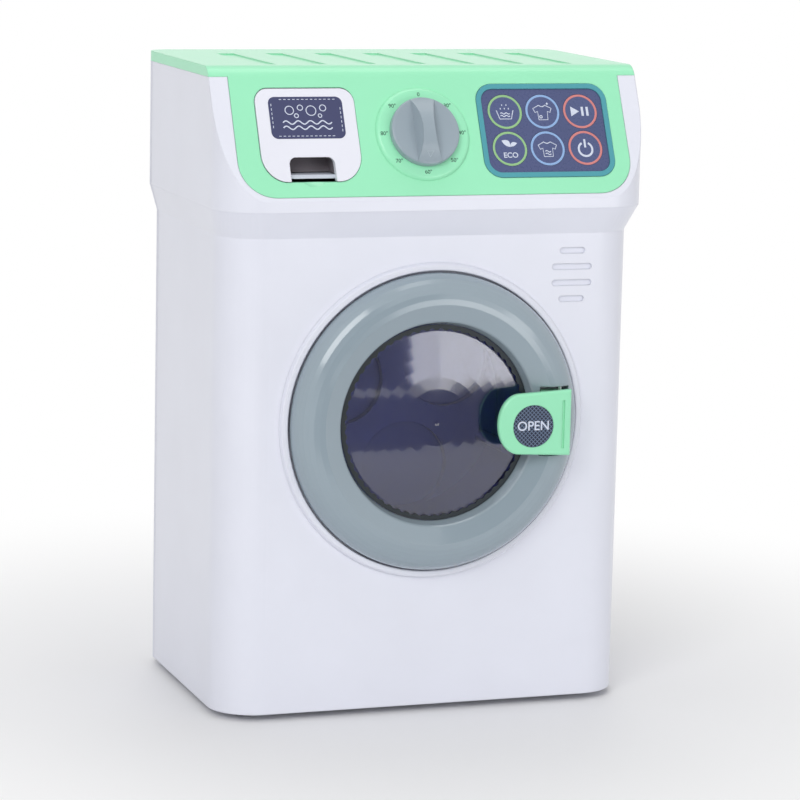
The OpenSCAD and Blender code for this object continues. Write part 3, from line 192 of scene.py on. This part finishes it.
def moulded_material(name, colour, roughness=0.35, grain_scale=2500.0, depth=0.1, clouds=0.03,
                     edge=0.4, metallic=0.0, coat=0.0, transmission=0.0, mirror=0.5):
    """A finish. A value that is the same all over stays on the shader, and only the ones
    that vary come from the group."""
    material = bpy.data.materials.new(name)
    material.use_nodes = True
    nodes, links = material.node_tree.nodes, material.node_tree.links
    shader = nodes["Principled BSDF"]
    for label, value in (("Base Color", colour), ("Roughness", roughness), ("Metallic", metallic),
                         ("Coat Weight", coat), ("Coat Roughness", COAT_ROUGHNESS),
                         ("Transmission Weight", transmission), ("Specular IOR Level", mirror),
                         ("IOR", PLASTIC_IOR)):
        shader.inputs[label].default_value = value
    varied = [("Color", "Base Color", clouds), ("Roughness", "Roughness", depth),
              ("Normal", "Normal", max(depth, edge))]
    if any(amount > 0 for _, _, amount in varied):
        where = nodes.new("ShaderNodeTexCoord")
        surface = nodes.new("ShaderNodeGroup")
        surface.node_tree = moulded
        links.new(where.outputs["Object"], surface.inputs["Vector"])
        for label, value in (("Color", colour), ("Roughness", roughness), ("Clouds", clouds),
                             ("Grain Scale", grain_scale), ("Grain Depth", depth),
                             ("Edge Radius", edge * MM)):
            surface.inputs[label].default_value = value
        for source, target, amount in varied:
            if amount > 0:
                links.new(surface.outputs[source], shader.inputs[target])
    return material


LOOKS = {
    "white_plastic": dict(colour=paint(233, 235, 246), roughness=0.32, edge=0.8, coat=0.15),
    "white_back_plastic": dict(colour=paint(224, 226, 237), roughness=0.5, grain_scale=1600.0,
                               depth=0.3),
    "mint_plastic": dict(colour=paint(158, 239, 195), roughness=0.3, edge=0.6, coat=0.2),
    "grey_green_plastic": dict(colour=paint(150, 165, 175), roughness=0.17, edge=0.6, coat=0.5),
    "navy_window": dict(colour=paint(196, 200, 228), roughness=0.02, depth=0.0, edge=0.1,
                        coat=1.0, transmission=1.0, mirror=1.0),
    "drum_plastic": dict(colour=paint(78, 86, 150), roughness=0.3),
    "tub_plastic": dict(colour=paint(205, 210, 222), roughness=0.5, grain_scale=1600.0,
                        depth=0.3),
    "knob_plastic": dict(colour=paint(153, 167, 177), roughness=0.34, grain_scale=1800.0, depth=0.2,
                         coat=0.1),
    "drawer_plastic": dict(colour=paint(236, 237, 247), roughness=0.3, coat=0.2),
    "tray_plastic": dict(colour=paint(112, 106, 112), roughness=0.5),
    "teal_plastic": dict(colour=paint(78, 160, 172), roughness=0.3),
    "navy_plastic": dict(colour=paint(72, 82, 126), roughness=0.3, grain_scale=700.0, depth=0.35,
                         clouds=0.1, coat=0.2),
    "key_plastic": dict(colour=paint(76, 87, 132), roughness=0.3, grain_scale=700.0, depth=0.35,
                        clouds=0.1, coat=0.2),
    "gear_plastic": dict(colour=paint(240, 240, 232), roughness=0.4, edge=0.15),
    "black_plastic": dict(colour=paint(40, 40, 46), roughness=0.45),
    "speaker_black": dict(colour=paint(52, 52, 58), roughness=0.7, grain_scale=900.0, depth=0.5),
    "board_green": dict(colour=paint(36, 120, 76), roughness=0.35),
    "wire_red": dict(colour=paint(190, 48, 46), roughness=0.45),
    "steel": dict(colour=paint(190, 190, 194), roughness=0.24, grain_scale=900.0, depth=0.15,
                  metallic=1.0),
    "screw_steel": dict(colour=paint(178, 178, 182), roughness=0.32, grain_scale=900.0, depth=0.2,
                        edge=0.15, metallic=1.0),
    "spring_steel": dict(colour=paint(186, 184, 178), roughness=0.3, grain_scale=900.0, depth=0.15,
                         edge=0.1, metallic=1.0),
    "motor_steel": dict(colour=paint(188, 190, 195), roughness=0.34, grain_scale=700.0, depth=0.2,
                        metallic=1.0),
    "bush_brass": dict(colour=paint(214, 178, 110), roughness=0.36, grain_scale=900.0, depth=0.3,
                       metallic=1.0),
    "foot_rubber": dict(colour=paint(62, 62, 66), roughness=0.8, grain_scale=900.0, depth=0.6,
                        clouds=0.08),
}
FINISHES = {name: moulded_material(name, **look) for name, look in LOOKS.items()}
slot_of = {row["node"]: row["material_slot"] for row in frame["record"]["subparts"]}
for node, obj in frame["nodes"].items():
    obj.data.materials.clear()
    obj.data.materials.append(FINISHES[slot_of[node]])
print("finishes:", len(FINISHES), "on", len(slot_of), "nodes")

# %% [markdown]
# ## Printed signs
# Signs on a toy are printed ink or thin labels. Ink is a hair above the surface, so each sign
# is a very thin raised shape. Lines are curves with a round bevel that is then pressed flat,
# because a curve gives an even width round every bend.

# %% Helpers that turn drawings into pieces
INK_HEIGHT = 0.08


def piece(name, bm, place, material, body):
    """Puts a drawing in its place, makes it a piece and lets it ride on a body."""
    bm.transform(place)
    bmesh.ops.recalc_face_normals(bm, faces=bm.faces)
    mesh = bpy.data.meshes.new(name)
    bm.to_mesh(mesh)
    bm.free()
    mesh.shade_smooth()
    mesh.set_sharp_from_angle(angle=math.radians(35))
    obj = bpy.data.objects.new(name, mesh)
    bpy.context.collection.objects.link(obj)
    obj.data.materials.append(material)
    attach(obj, body)


def curve_mesh(bm, curve):
    """Adds a curve's or a text's shape to a bmesh, and removes the curve."""
    obj = bpy.data.objects.new("drawing", curve)
    bpy.context.collection.objects.link(obj)
    bpy.context.view_layer.update()
    mesh = bpy.data.meshes.new_from_object(obj.evaluated_get(bpy.context.evaluated_depsgraph_get()))
    bm.from_mesh(mesh)
    bpy.data.objects.remove(obj)
    bpy.data.meshes.remove(mesh)


def add_lines(bm, lines, width):
    curve = bpy.data.curves.new("lines", "CURVE")
    curve.dimensions = "3D"
    curve.bevel_depth = width / 2
    curve.bevel_resolution = 2
    curve.use_fill_caps = True
    for points in lines:
        spline = curve.splines.new("POLY")
        closed = points[0] == points[-1]
        kept = points[:-1] if closed else points
        spline.points.add(len(kept) - 1)
        for spot, (x, y) in zip(spline.points, kept):
            spot.co = (x, y, 0, 1)
        spline.use_cyclic_u = closed
    drawn = bmesh.new()
    curve_mesh(drawn, curve)
    bmesh.ops.scale(drawn, vec=(1, 1, 2 * INK_HEIGHT / width), verts=drawn.verts)
    pressed = bpy.data.meshes.new("pressed")
    drawn.to_mesh(pressed)
    drawn.free()
    bm.from_mesh(pressed)
    bpy.data.meshes.remove(pressed)


def add_fills(bm, shapes, height=INK_HEIGHT):
    curve = bpy.data.curves.new("fills", "CURVE")
    curve.dimensions = "2D"
    curve.fill_mode = "BOTH"
    curve.extrude = height
    for points in shapes:
        spline = curve.splines.new("POLY")
        spline.points.add(len(points) - 1)
        for spot, (x, y) in zip(spline.points, points):
            spot.co = (x, y, 0, 1)
        spline.use_cyclic_u = True
    curve_mesh(bm, curve)


def add_text(bm, words, size, x=0.0, y=0.0, weight=0.0, height=INK_HEIGHT):
    text = bpy.data.curves.new("words", "FONT")
    text.body = words
    text.size = size
    text.align_x, text.align_y = "CENTER", "CENTER"
    text.extrude = height
    text.offset = weight
    text.offset_x, text.offset_y = x, y
    curve_mesh(bm, text)


def arc(x, y, radius, start, end, steps=32):
    """Points along an arc, with its angles in degrees."""
    turns = [math.radians(start + (end - start) * i / steps) for i in range(steps + 1)]
    return [(x + radius * math.cos(a), y + radius * math.sin(a)) for a in turns]


def circle(x, y, radius, steps):
    """Points round a circle, the first one again at the end, so that the line closes."""
    points = arc(x, y, radius, 0, 360, steps)[:-1]
    return points + points[:1]


def rounded_box(width, height, radius):
    corners = ((1, 1, 0), (-1, 1, 90), (-1, -1, 180), (1, -1, 270))
    points = []
    for sx, sy, start in corners:
        x, y = sx * (width / 2 - radius), sy * (height / 2 - radius)
        points += arc(x, y, radius, start, start + 90, 8)
    return points


def ink(name, colour, roughness=0.45):
    """Printed ink, too thin for any grain or edge of its own."""
    return moulded_material(name, colour, roughness, depth=0.0, edge=0.0)


INKS = {
    "pale_ink": ink("pale_ink", paint(214, 221, 238), 0.5),
    "grey_ink": ink("grey_ink", paint(184, 196, 204), 0.4),
    "dark_ink": ink("dark_ink", paint(34, 66, 56), 0.5),
    "label_navy": moulded_material("label_navy", paint(62, 66, 104), 0.4, depth=0.05, edge=0.1),
    "green_ink": ink("green_ink", paint(150, 196, 138)),
    "blue_ink": ink("blue_ink", paint(146, 180, 226)),
    "coral_ink": ink("coral_ink", paint(214, 132, 130)),
    "seal_rubber": moulded_material("seal_rubber", paint(40, 48, 54), 0.4, grain_scale=900.0,
                                    depth=0.2, edge=0.1),
}
print("inks:", ", ".join(INKS))

# %% [markdown]
# ## The keys
# Each key has a coloured ring and a plain sign for what it does. The signs are simple ones of
# our own: a basin, a shirt, play and pause, a leaf, a drying shirt and the power sign. They
# ride on their keys, so that they go down with them.

# %% Signs on the keys
KEY_FACE = -0.2
RING_RADIUS, RING_WIDTH = 7.45, 1.0
COLUMNS = {"left": 34.3, "middle": 52.0, "right": 69.8}
ROWS = {"low": 21.2, "high": 38.4}
SHIRT = [(-1.5, 3.0), (-4.3, 1.5), (-3.5, -0.4), (-2.3, 0.1), (-2.1, -3.8), (2.1, -3.8),
         (2.3, 0.1), (3.5, -0.4), (4.3, 1.5), (1.5, 3.0), (0.7, 2.5), (0.0, 2.3), (-0.7, 2.5),
         (-1.5, 3.0)]


def wave(x0, x1, y, rise, humps):
    """A line of even waves from x0 to x1, ten points to each."""
    steps = 10 * humps
    return [(x0 + (x1 - x0) * i / steps, y + rise * math.sin(2 * math.pi * i / 10))
            for i in range(steps + 1)]


def leaf(x, y, length, width, turn):
    """A leaf made of two arched sides that meet in points."""
    side = [(length * (i / 12 - 0.5), width * math.sin(math.pi * i / 12)) for i in range(13)]
    outline = side + [(px, -0.45 * py) for px, py in reversed(side[1:-1])]
    a = math.radians(turn)
    return [(x + px * math.cos(a) - py * math.sin(a), y + px * math.sin(a) + py * math.cos(a))
            for px, py in outline]


SIGNS = {
    "key_soak": dict(at=("left", "high"), ring="green_ink", width=0.42,
                     lines=[[(-3.9, 0.7), (-2.7, -3.3), (2.7, -3.3), (3.9, 0.7)],
                            wave(-2.2, 2.2, -0.7, 0.3, 2), wave(-2.2, 2.2, -1.9, 0.3, 2)]
                     + [[(x, y + 0.35), (x, y - 0.35)] for x, y in
                        ((-1.9, 1.5), (0, 1.5), (1.9, 1.5), (-1.0, 3.2), (1.0, 3.2))]),
    "key_shirt": dict(at=("middle", "high"), ring="blue_ink", width=0.42,
                      lines=[SHIRT, arc(-1.0, -2.4, 0.6, 0, 360, 12), [(2.6, 3.2), (2.6, 4.2)],
                             [(2.1, 3.7), (3.1, 3.7)]]),
    "key_play": dict(at=("right", "high"), ring="coral_ink", width=0.9,
                     fills=[[(-4.4, 2.3), (-4.4, -2.3), (-0.5, 0.0)],
                            [(0.5, 2.1), (0.5, -2.1), (1.6, -2.1), (1.6, 2.1)],
                            [(2.8, 2.1), (2.8, -2.1), (3.9, -2.1), (3.9, 2.1)]]),
    "key_leaf": dict(at=("left", "low"), ring="green_ink", width=0.42, word="ECO",
                     fills=[leaf(-1.5, 2.3, 5.0, 1.8, -38), leaf(1.9, 1.8, 3.8, 1.3, 25)]),
    "key_dry": dict(at=("middle", "low"), ring="blue_ink", width=0.42,
                    lines=[SHIRT, wave(-1.3, 1.3, -1.4, 0.35, 1), wave(-1.3, 1.3, -2.6, 0.35, 1)]),
    "key_power": dict(at=("right", "low"), ring="coral_ink", width=0.95,
                      lines=[arc(0, -0.6, 3.2, 118, 422), [(0, 4.1), (0, 0.2)]]),
}
for key, sign in SIGNS.items():
    x, s = COLUMNS[sign["at"][0]], ROWS[sign["at"][1]]
    rim = bmesh.new()
    add_lines(rim, [circle(0, 0, RING_RADIUS, 72)], RING_WIDTH)
    piece(key + "_ring", rim, on_slope(x, s, KEY_FACE), INKS[sign["ring"]], key)
    drawn = bmesh.new()
    if "lines" in sign:
        add_lines(drawn, sign["lines"], sign["width"])
    if "fills" in sign:
        add_fills(drawn, sign["fills"])
    if "word" in sign:
        add_text(drawn, sign["word"], 3.4, 0.0, -3.1, 0.05)
    piece(key + "_sign", drawn, on_slope(x, s, KEY_FACE), INKS["pale_ink"], key)
print("keys signed:", len(SIGNS))

# %% [markdown]
# ## Numbers round the dial
# Plain numbers go clockwise from 0 at the top. They are printed on the raised disc, which does
# not turn.

# %% Print the numbers
DIAL = (-5.4, 28.2)
DIAL_FACE = 1.5
NUMBER_RADIUS, NUMBER_SIZE = 17.9, 2.5
numbers = bmesh.new()
for i, words in enumerate(("0", "30°", "40°", "50°", "60°", "70°", "80°", "90°")):
    a = math.radians(90 - 45 * i)
    add_text(numbers, words, NUMBER_SIZE, NUMBER_RADIUS * math.cos(a), NUMBER_RADIUS * math.sin(a))
piece("dial_numbers", numbers, on_slope(*DIAL, DIAL_FACE), INKS["dark_ink"], "root")

# %% [markdown]
# ## The knob's mark
# A small raised triangle at the grip's lower end shows the number that is chosen. The grip is
# an arch, so the mark lies on a patch that slopes down by about thirty degrees.

# %% Raise the mark on the grip
KNOB_BASE = 1.8
ARCH_RADIUS, ARCH_MIDDLE = 24.0, -16.0
mark_s = -11.4
lean = math.asin(-mark_s / ARCH_RADIUS)
mark_out = KNOB_BASE + ARCH_MIDDLE + ARCH_RADIUS * math.cos(lean)
mark = bmesh.new()
add_lines(mark, [[(-1.5, 1.1), (1.5, 1.1), (0.0, -1.5), (-1.5, 1.1)]], 0.35)
mark_place = on_slope(DIAL[0], DIAL[1] + mark_s, mark_out) @ Matrix.Rotation(lean, 4, "X")
piece("knob_mark", mark, mark_place, INKS["grey_ink"], "knob")
print("mark leans by", round(math.degrees(lean), 1), "degrees")

# %% [markdown]
# ## The drawer's label
# A navy label with rounded corners sits on the drawer. Ours carries a stitched border, two
# waves and some bubbles, a plain picture of washing that names nobody.

# %% Make the label and its picture
LABEL = (-57.0, 36.2)
LABEL_SIZE = (33.3, 19.2)
LABEL_CORNER, BORDER_INSET = 3.0, 1.2
DRAWER_FACE, LABEL_RISE = 0.4, 0.1
plate = bmesh.new()
add_fills(plate, [rounded_box(*LABEL_SIZE, LABEL_CORNER)], LABEL_RISE)
piece("drawer_label", plate, on_slope(*LABEL, DRAWER_FACE), INKS["label_navy"], "drawer")
border = rounded_box(*(side - 2 * BORDER_INSET for side in LABEL_SIZE), 2.0)
picture = bmesh.new()


def dashes(points, dash, gap):
    """Short strokes along a closed outline, like stitches."""
    closed = [Vector(p) for p in points + points[:1]]
    strokes = []
    for a, b in zip(closed, closed[1:]):
        length, along = (b - a).length, 0.0
        while length > 0 and along + dash <= length:
            p, q = a.lerp(b, along / length), a.lerp(b, (along + dash) / length)
            strokes.append([tuple(p), tuple(q)])
            along += dash + gap
    return strokes


bubbles = [(-7.5, 3.4, 1.9), (-2.6, 4.6, 1.2), (2.2, 3.2, 2.2), (7.6, 4.4, 1.4),
           (-4.6, 0.9, 0.9), (6.0, 0.9, 0.8)]
add_lines(picture, dashes(border, 1.1, 0.9), 0.3)
add_lines(picture, [circle(x, y, radius, 24) for x, y, radius in bubbles], 0.4)
add_lines(picture, [wave(-11, 11, -2.2, 0.8, 4), wave(-11, 11, -4.6, 0.8, 4)], 0.55)
piece("drawer_label_picture", picture, on_slope(*LABEL, DRAWER_FACE + LABEL_RISE),
      INKS["pale_ink"], "drawer")

# %% [markdown]
# ## The latch's sticker
# A round sticker with a fine cross-hatch says what the latch does. The hatch is two sets of
# thin lines in the material, turned against each other, because real lines this fine would
# cost thousands of faces.

# %% Cross-hatched sticker and its word
def hatched_material(name, ground, line, pitch):
    material = moulded_material(name, ground, 0.4, depth=0.0)
    nodes, links = material.node_tree.nodes, material.node_tree.links
    where = nodes.new("ShaderNodeTexCoord")
    surface = next(n for n in nodes if n.type == "GROUP")
    masks = []
    for turn in (45, -45):
        turned = nodes.new("ShaderNodeMapping")
        turned.inputs["Rotation"].default_value = (0, math.radians(turn), 0)
        bands = nodes.new("ShaderNodeTexWave")
        bands.inputs["Scale"].default_value = math.pi / 10 / pitch
        sharp = nodes.new("ShaderNodeMapRange")
        sharp.inputs["From Min"].default_value = 0.8
        sharp.inputs["From Max"].default_value = 0.95
        links.new(where.outputs["Object"], turned.inputs["Vector"])
        links.new(turned.outputs["Vector"], bands.inputs["Vector"])
        links.new(bands.outputs["Fac"], sharp.inputs["Value"])
        masks.append(sharp.outputs[0])
    either = nodes.new("ShaderNodeMath")
    either.operation = "MAXIMUM"
    links.new(masks[0], either.inputs[0])
    links.new(masks[1], either.inputs[1])
    mix = nodes.new("ShaderNodeMix")
    mix.data_type = "RGBA"
    mix.inputs["A"].default_value = ground
    mix.inputs["B"].default_value = line
    links.new(either.outputs[0], mix.inputs["Factor"])
    links.new(mix.outputs["Result"], surface.inputs["Color"])
    return material


STICKER, STICKER_RADIUS = (41.2, -1.0), 9.35
LATCH_FACE = 14.5
HATCH_PITCH = 0.0013
hatch = hatched_material("hatched_label", paint(24, 32, 56), paint(104, 122, 150), HATCH_PITCH)
disc = bmesh.new()
add_fills(disc, [arc(0, 0, STICKER_RADIUS, 0, 354, 59)], 0.05)
piece("latch_sticker", disc, on_door(*STICKER, LATCH_FACE - 0.15), hatch, "latch")
word = bmesh.new()
add_text(word, "OPEN", 5.8, weight=0.06, height=0.05)
piece("latch_word", word, on_door(*STICKER, LATCH_FACE - 0.08), INKS["pale_ink"], "latch")

# %% [markdown]
# ## The seal round the window
# A dark rubber ring with fine teeth holds the pane inside the grey ring. It starts as two
# circles that are bridged. Every other point of the inner circle moves outwards for the teeth,
# and the flat ring is then extruded to its thickness.

# %% Make the toothed seal
SEAL_OUTER, SEAL_INNER, SEAL_TOOTH = 43.4, 41.0, 0.7
seal = bmesh.new()
outer_loop = bmesh.ops.create_circle(seal, segments=240, radius=SEAL_OUTER)["verts"]
inner_loop = bmesh.ops.create_circle(seal, segments=240, radius=SEAL_INNER)["verts"]
bmesh.ops.bridge_loops(seal, edges=seal.edges[:])
for i, point in enumerate(inner_loop):
    if i // 2 % 2:
        point.co *= 1 + SEAL_TOOTH / SEAL_INNER
flat = bmesh.ops.extrude_face_region(seal, geom=seal.faces[:])
raised = [part for part in flat["geom"] if isinstance(part, bmesh.types.BMVert)]
bmesh.ops.translate(seal, verts=raised, vec=(0, 0, 0.5))
piece("window_seal", seal, on_door(0, 0, 1.65), INKS["seal_rubber"], "door")
print("teeth:", len(inner_loop) // 4)

# %% [markdown]
# ## The floor
# A white floor shows the toy's soft shadow close by and fades to plain white further off. The
# fade is in the material: where the camera, a mirror or a pane looks at it, distance from the
# toy mixes the lit floor with a white glow. Other light never meets the glow.

# %% Lay the floor
def any_of(nodes, links, outputs):
    """A value of 1 where one of the Light Path's outputs is 1."""
    total = outputs[0]
    for output in outputs[1:]:
        most = nodes.new("ShaderNodeMath")
        most.operation = "MAXIMUM"
        links.new(total, most.inputs[0])
        links.new(output, most.inputs[1])
        total = most.outputs[0]
    return total


SEEN_BY = ("Is Camera Ray", "Is Glossy Ray", "Is Transmission Ray")
FADE_START, FADE_END = 0.1, 0.42
FLOOR_REACH = 6.0
white_floor = moulded_material("studio_floor", (0.86, 0.86, 0.87, 1.0), 0.6, depth=0.0, clouds=0.0,
                               edge=0.0)
nodes, links = white_floor.node_tree.nodes, white_floor.node_tree.links
spot = nodes.new("ShaderNodeTexCoord")
far = nodes.new("ShaderNodeVectorMath")
far.operation = "LENGTH"
fade = nodes.new("ShaderNodeMapRange")
fade.interpolation_type = "SMOOTHSTEP"
fade.inputs["From Min"].default_value = FADE_START
fade.inputs["From Max"].default_value = FADE_END
path = nodes.new("ShaderNodeLightPath")
share = nodes.new("ShaderNodeMath")
share.operation = "MULTIPLY"
glow = nodes.new("ShaderNodeEmission")
mix = nodes.new("ShaderNodeMixShader")
links.new(spot.outputs["Object"], far.inputs[0])
links.new(far.outputs["Value"], fade.inputs["Value"])
links.new(fade.outputs[0], share.inputs[0])
links.new(any_of(nodes, links, [path.outputs[label] for label in SEEN_BY]), share.inputs[1])
links.new(share.outputs[0], mix.inputs[0])
links.new(nodes["Principled BSDF"].outputs[0], mix.inputs[1])
links.new(glow.outputs[0], mix.inputs[2])
links.new(mix.outputs[0], nodes["Material Output"].inputs["Surface"])
ground = bmesh.new()
bmesh.ops.create_grid(ground, x_segments=1, y_segments=1, size=FLOOR_REACH)
floor_mesh = bpy.data.meshes.new("floor")
ground.to_mesh(floor_mesh)
ground.free()
floor = bpy.data.objects.new("floor", floor_mesh)
floor.data.materials.append(white_floor)
bpy.context.collection.objects.link(floor)
print("floor fades to white by", FADE_END, "m")

# %% [markdown]
# ## The world and the lamps
# The world is plain white where the camera, a mirror or a pane sees it, and dimmer for the
# light that it casts, so that white plastic keeps its shading. A big softbox on the left lights
# the front, one above lights the top, and one behind keeps the back from going dull. A low one on
# the right shows in the pane's upper half, as a window does in a real porthole, and dark cards
# stand where the pane should stay dark.

# %% World and lamps
CAST_LEVEL, SEEN_LEVEL = 0.46, 1.0
world = bpy.data.worlds.new("studio")
world.use_nodes = True
scene.world = world
sky, sky_links = world.node_tree.nodes, world.node_tree.links
sky_path = sky.new("ShaderNodeLightPath")
strength = sky.new("ShaderNodeMapRange")
strength.inputs["To Min"].default_value = CAST_LEVEL
strength.inputs["To Max"].default_value = SEEN_LEVEL
seen = any_of(sky, sky_links, [sky_path.outputs[label] for label in SEEN_BY])
sky_links.new(seen, strength.inputs["Value"])
sky_links.new(strength.outputs[0], sky["Background"].inputs["Strength"])
sky["Background"].inputs["Color"].default_value = (1.0, 1.0, 1.0, 1.0)


def softbox(name, place, aim, size, power, mirrored=True):
    """A flat lamp that the camera doesn't see, and mirrors only where it says so."""
    data = bpy.data.lights.new(name, "AREA")
    data.shape = "RECTANGLE"
    data.size, data.size_y = size
    data.energy = power
    lamp = bpy.data.objects.new(name, data)
    lamp.location = place
    lamp.rotation_euler = (Vector(aim) - Vector(place)).to_track_quat("-Z", "Y").to_euler()
    lamp.visible_camera = False
    lamp.visible_glossy = mirrored
    bpy.context.collection.objects.link(lamp)


softbox("key_light", place=(-1.1, -1.5, 1.3), aim=(0, 0, 0.15), size=(1.0, 1.0), power=16)
softbox("window_light", place=(0.76, -1.47, 0.27), aim=(0, -0.05, 0.27), size=(0.78, 0.47),
        power=3.4)
softbox("top_light", place=(0.1, 0.1, 1.8), aim=(0, 0, 0.2), size=(1.2, 1.2), power=7)
softbox("back_light", place=(0.5, 1.9, 0.5), aim=(0, 0, 0.15), size=(1.2, 0.8), power=10,
        mirrored=False)
print("lamps:", len(bpy.data.lights))

# %% Dark cards that only mirrors and panes see
card_black = moulded_material("card_black", paint(10, 11, 18), 0.9, depth=0.0, clouds=0.0,
                              edge=0.0)


def dark_card(name, place, aim, size):
    """A flat card that faces the toy and throws no shadow."""
    bm = bmesh.new()
    bmesh.ops.create_grid(bm, x_segments=1, y_segments=1, size=0.5)
    bmesh.ops.scale(bm, vec=(size[0], size[1], 1), verts=bm.verts)
    turn = (Vector(aim) - Vector(place)).to_track_quat("-Z", "Y").to_matrix().to_4x4()
    bm.transform(Matrix.Translation(place) @ turn)
    mesh = bpy.data.meshes.new(name)
    bm.to_mesh(mesh)
    bm.free()
    card = bpy.data.objects.new(name, mesh)
    card.data.materials.append(card_black)
    bpy.context.collection.objects.link(card)
    card.visible_camera = card.visible_diffuse = card.visible_shadow = False
    card.visible_transmission = False


dark_card("low_card", place=(0.17, -0.5, 0.0525), aim=(0.17, 0.0, 0.0525), size=(0.62, 0.099))
dark_card("back_card", place=(-0.1, -2.1, 0.7), aim=(-0.1, 0.0, 0.7), size=(1.7, 1.4))
print("cards: 2")
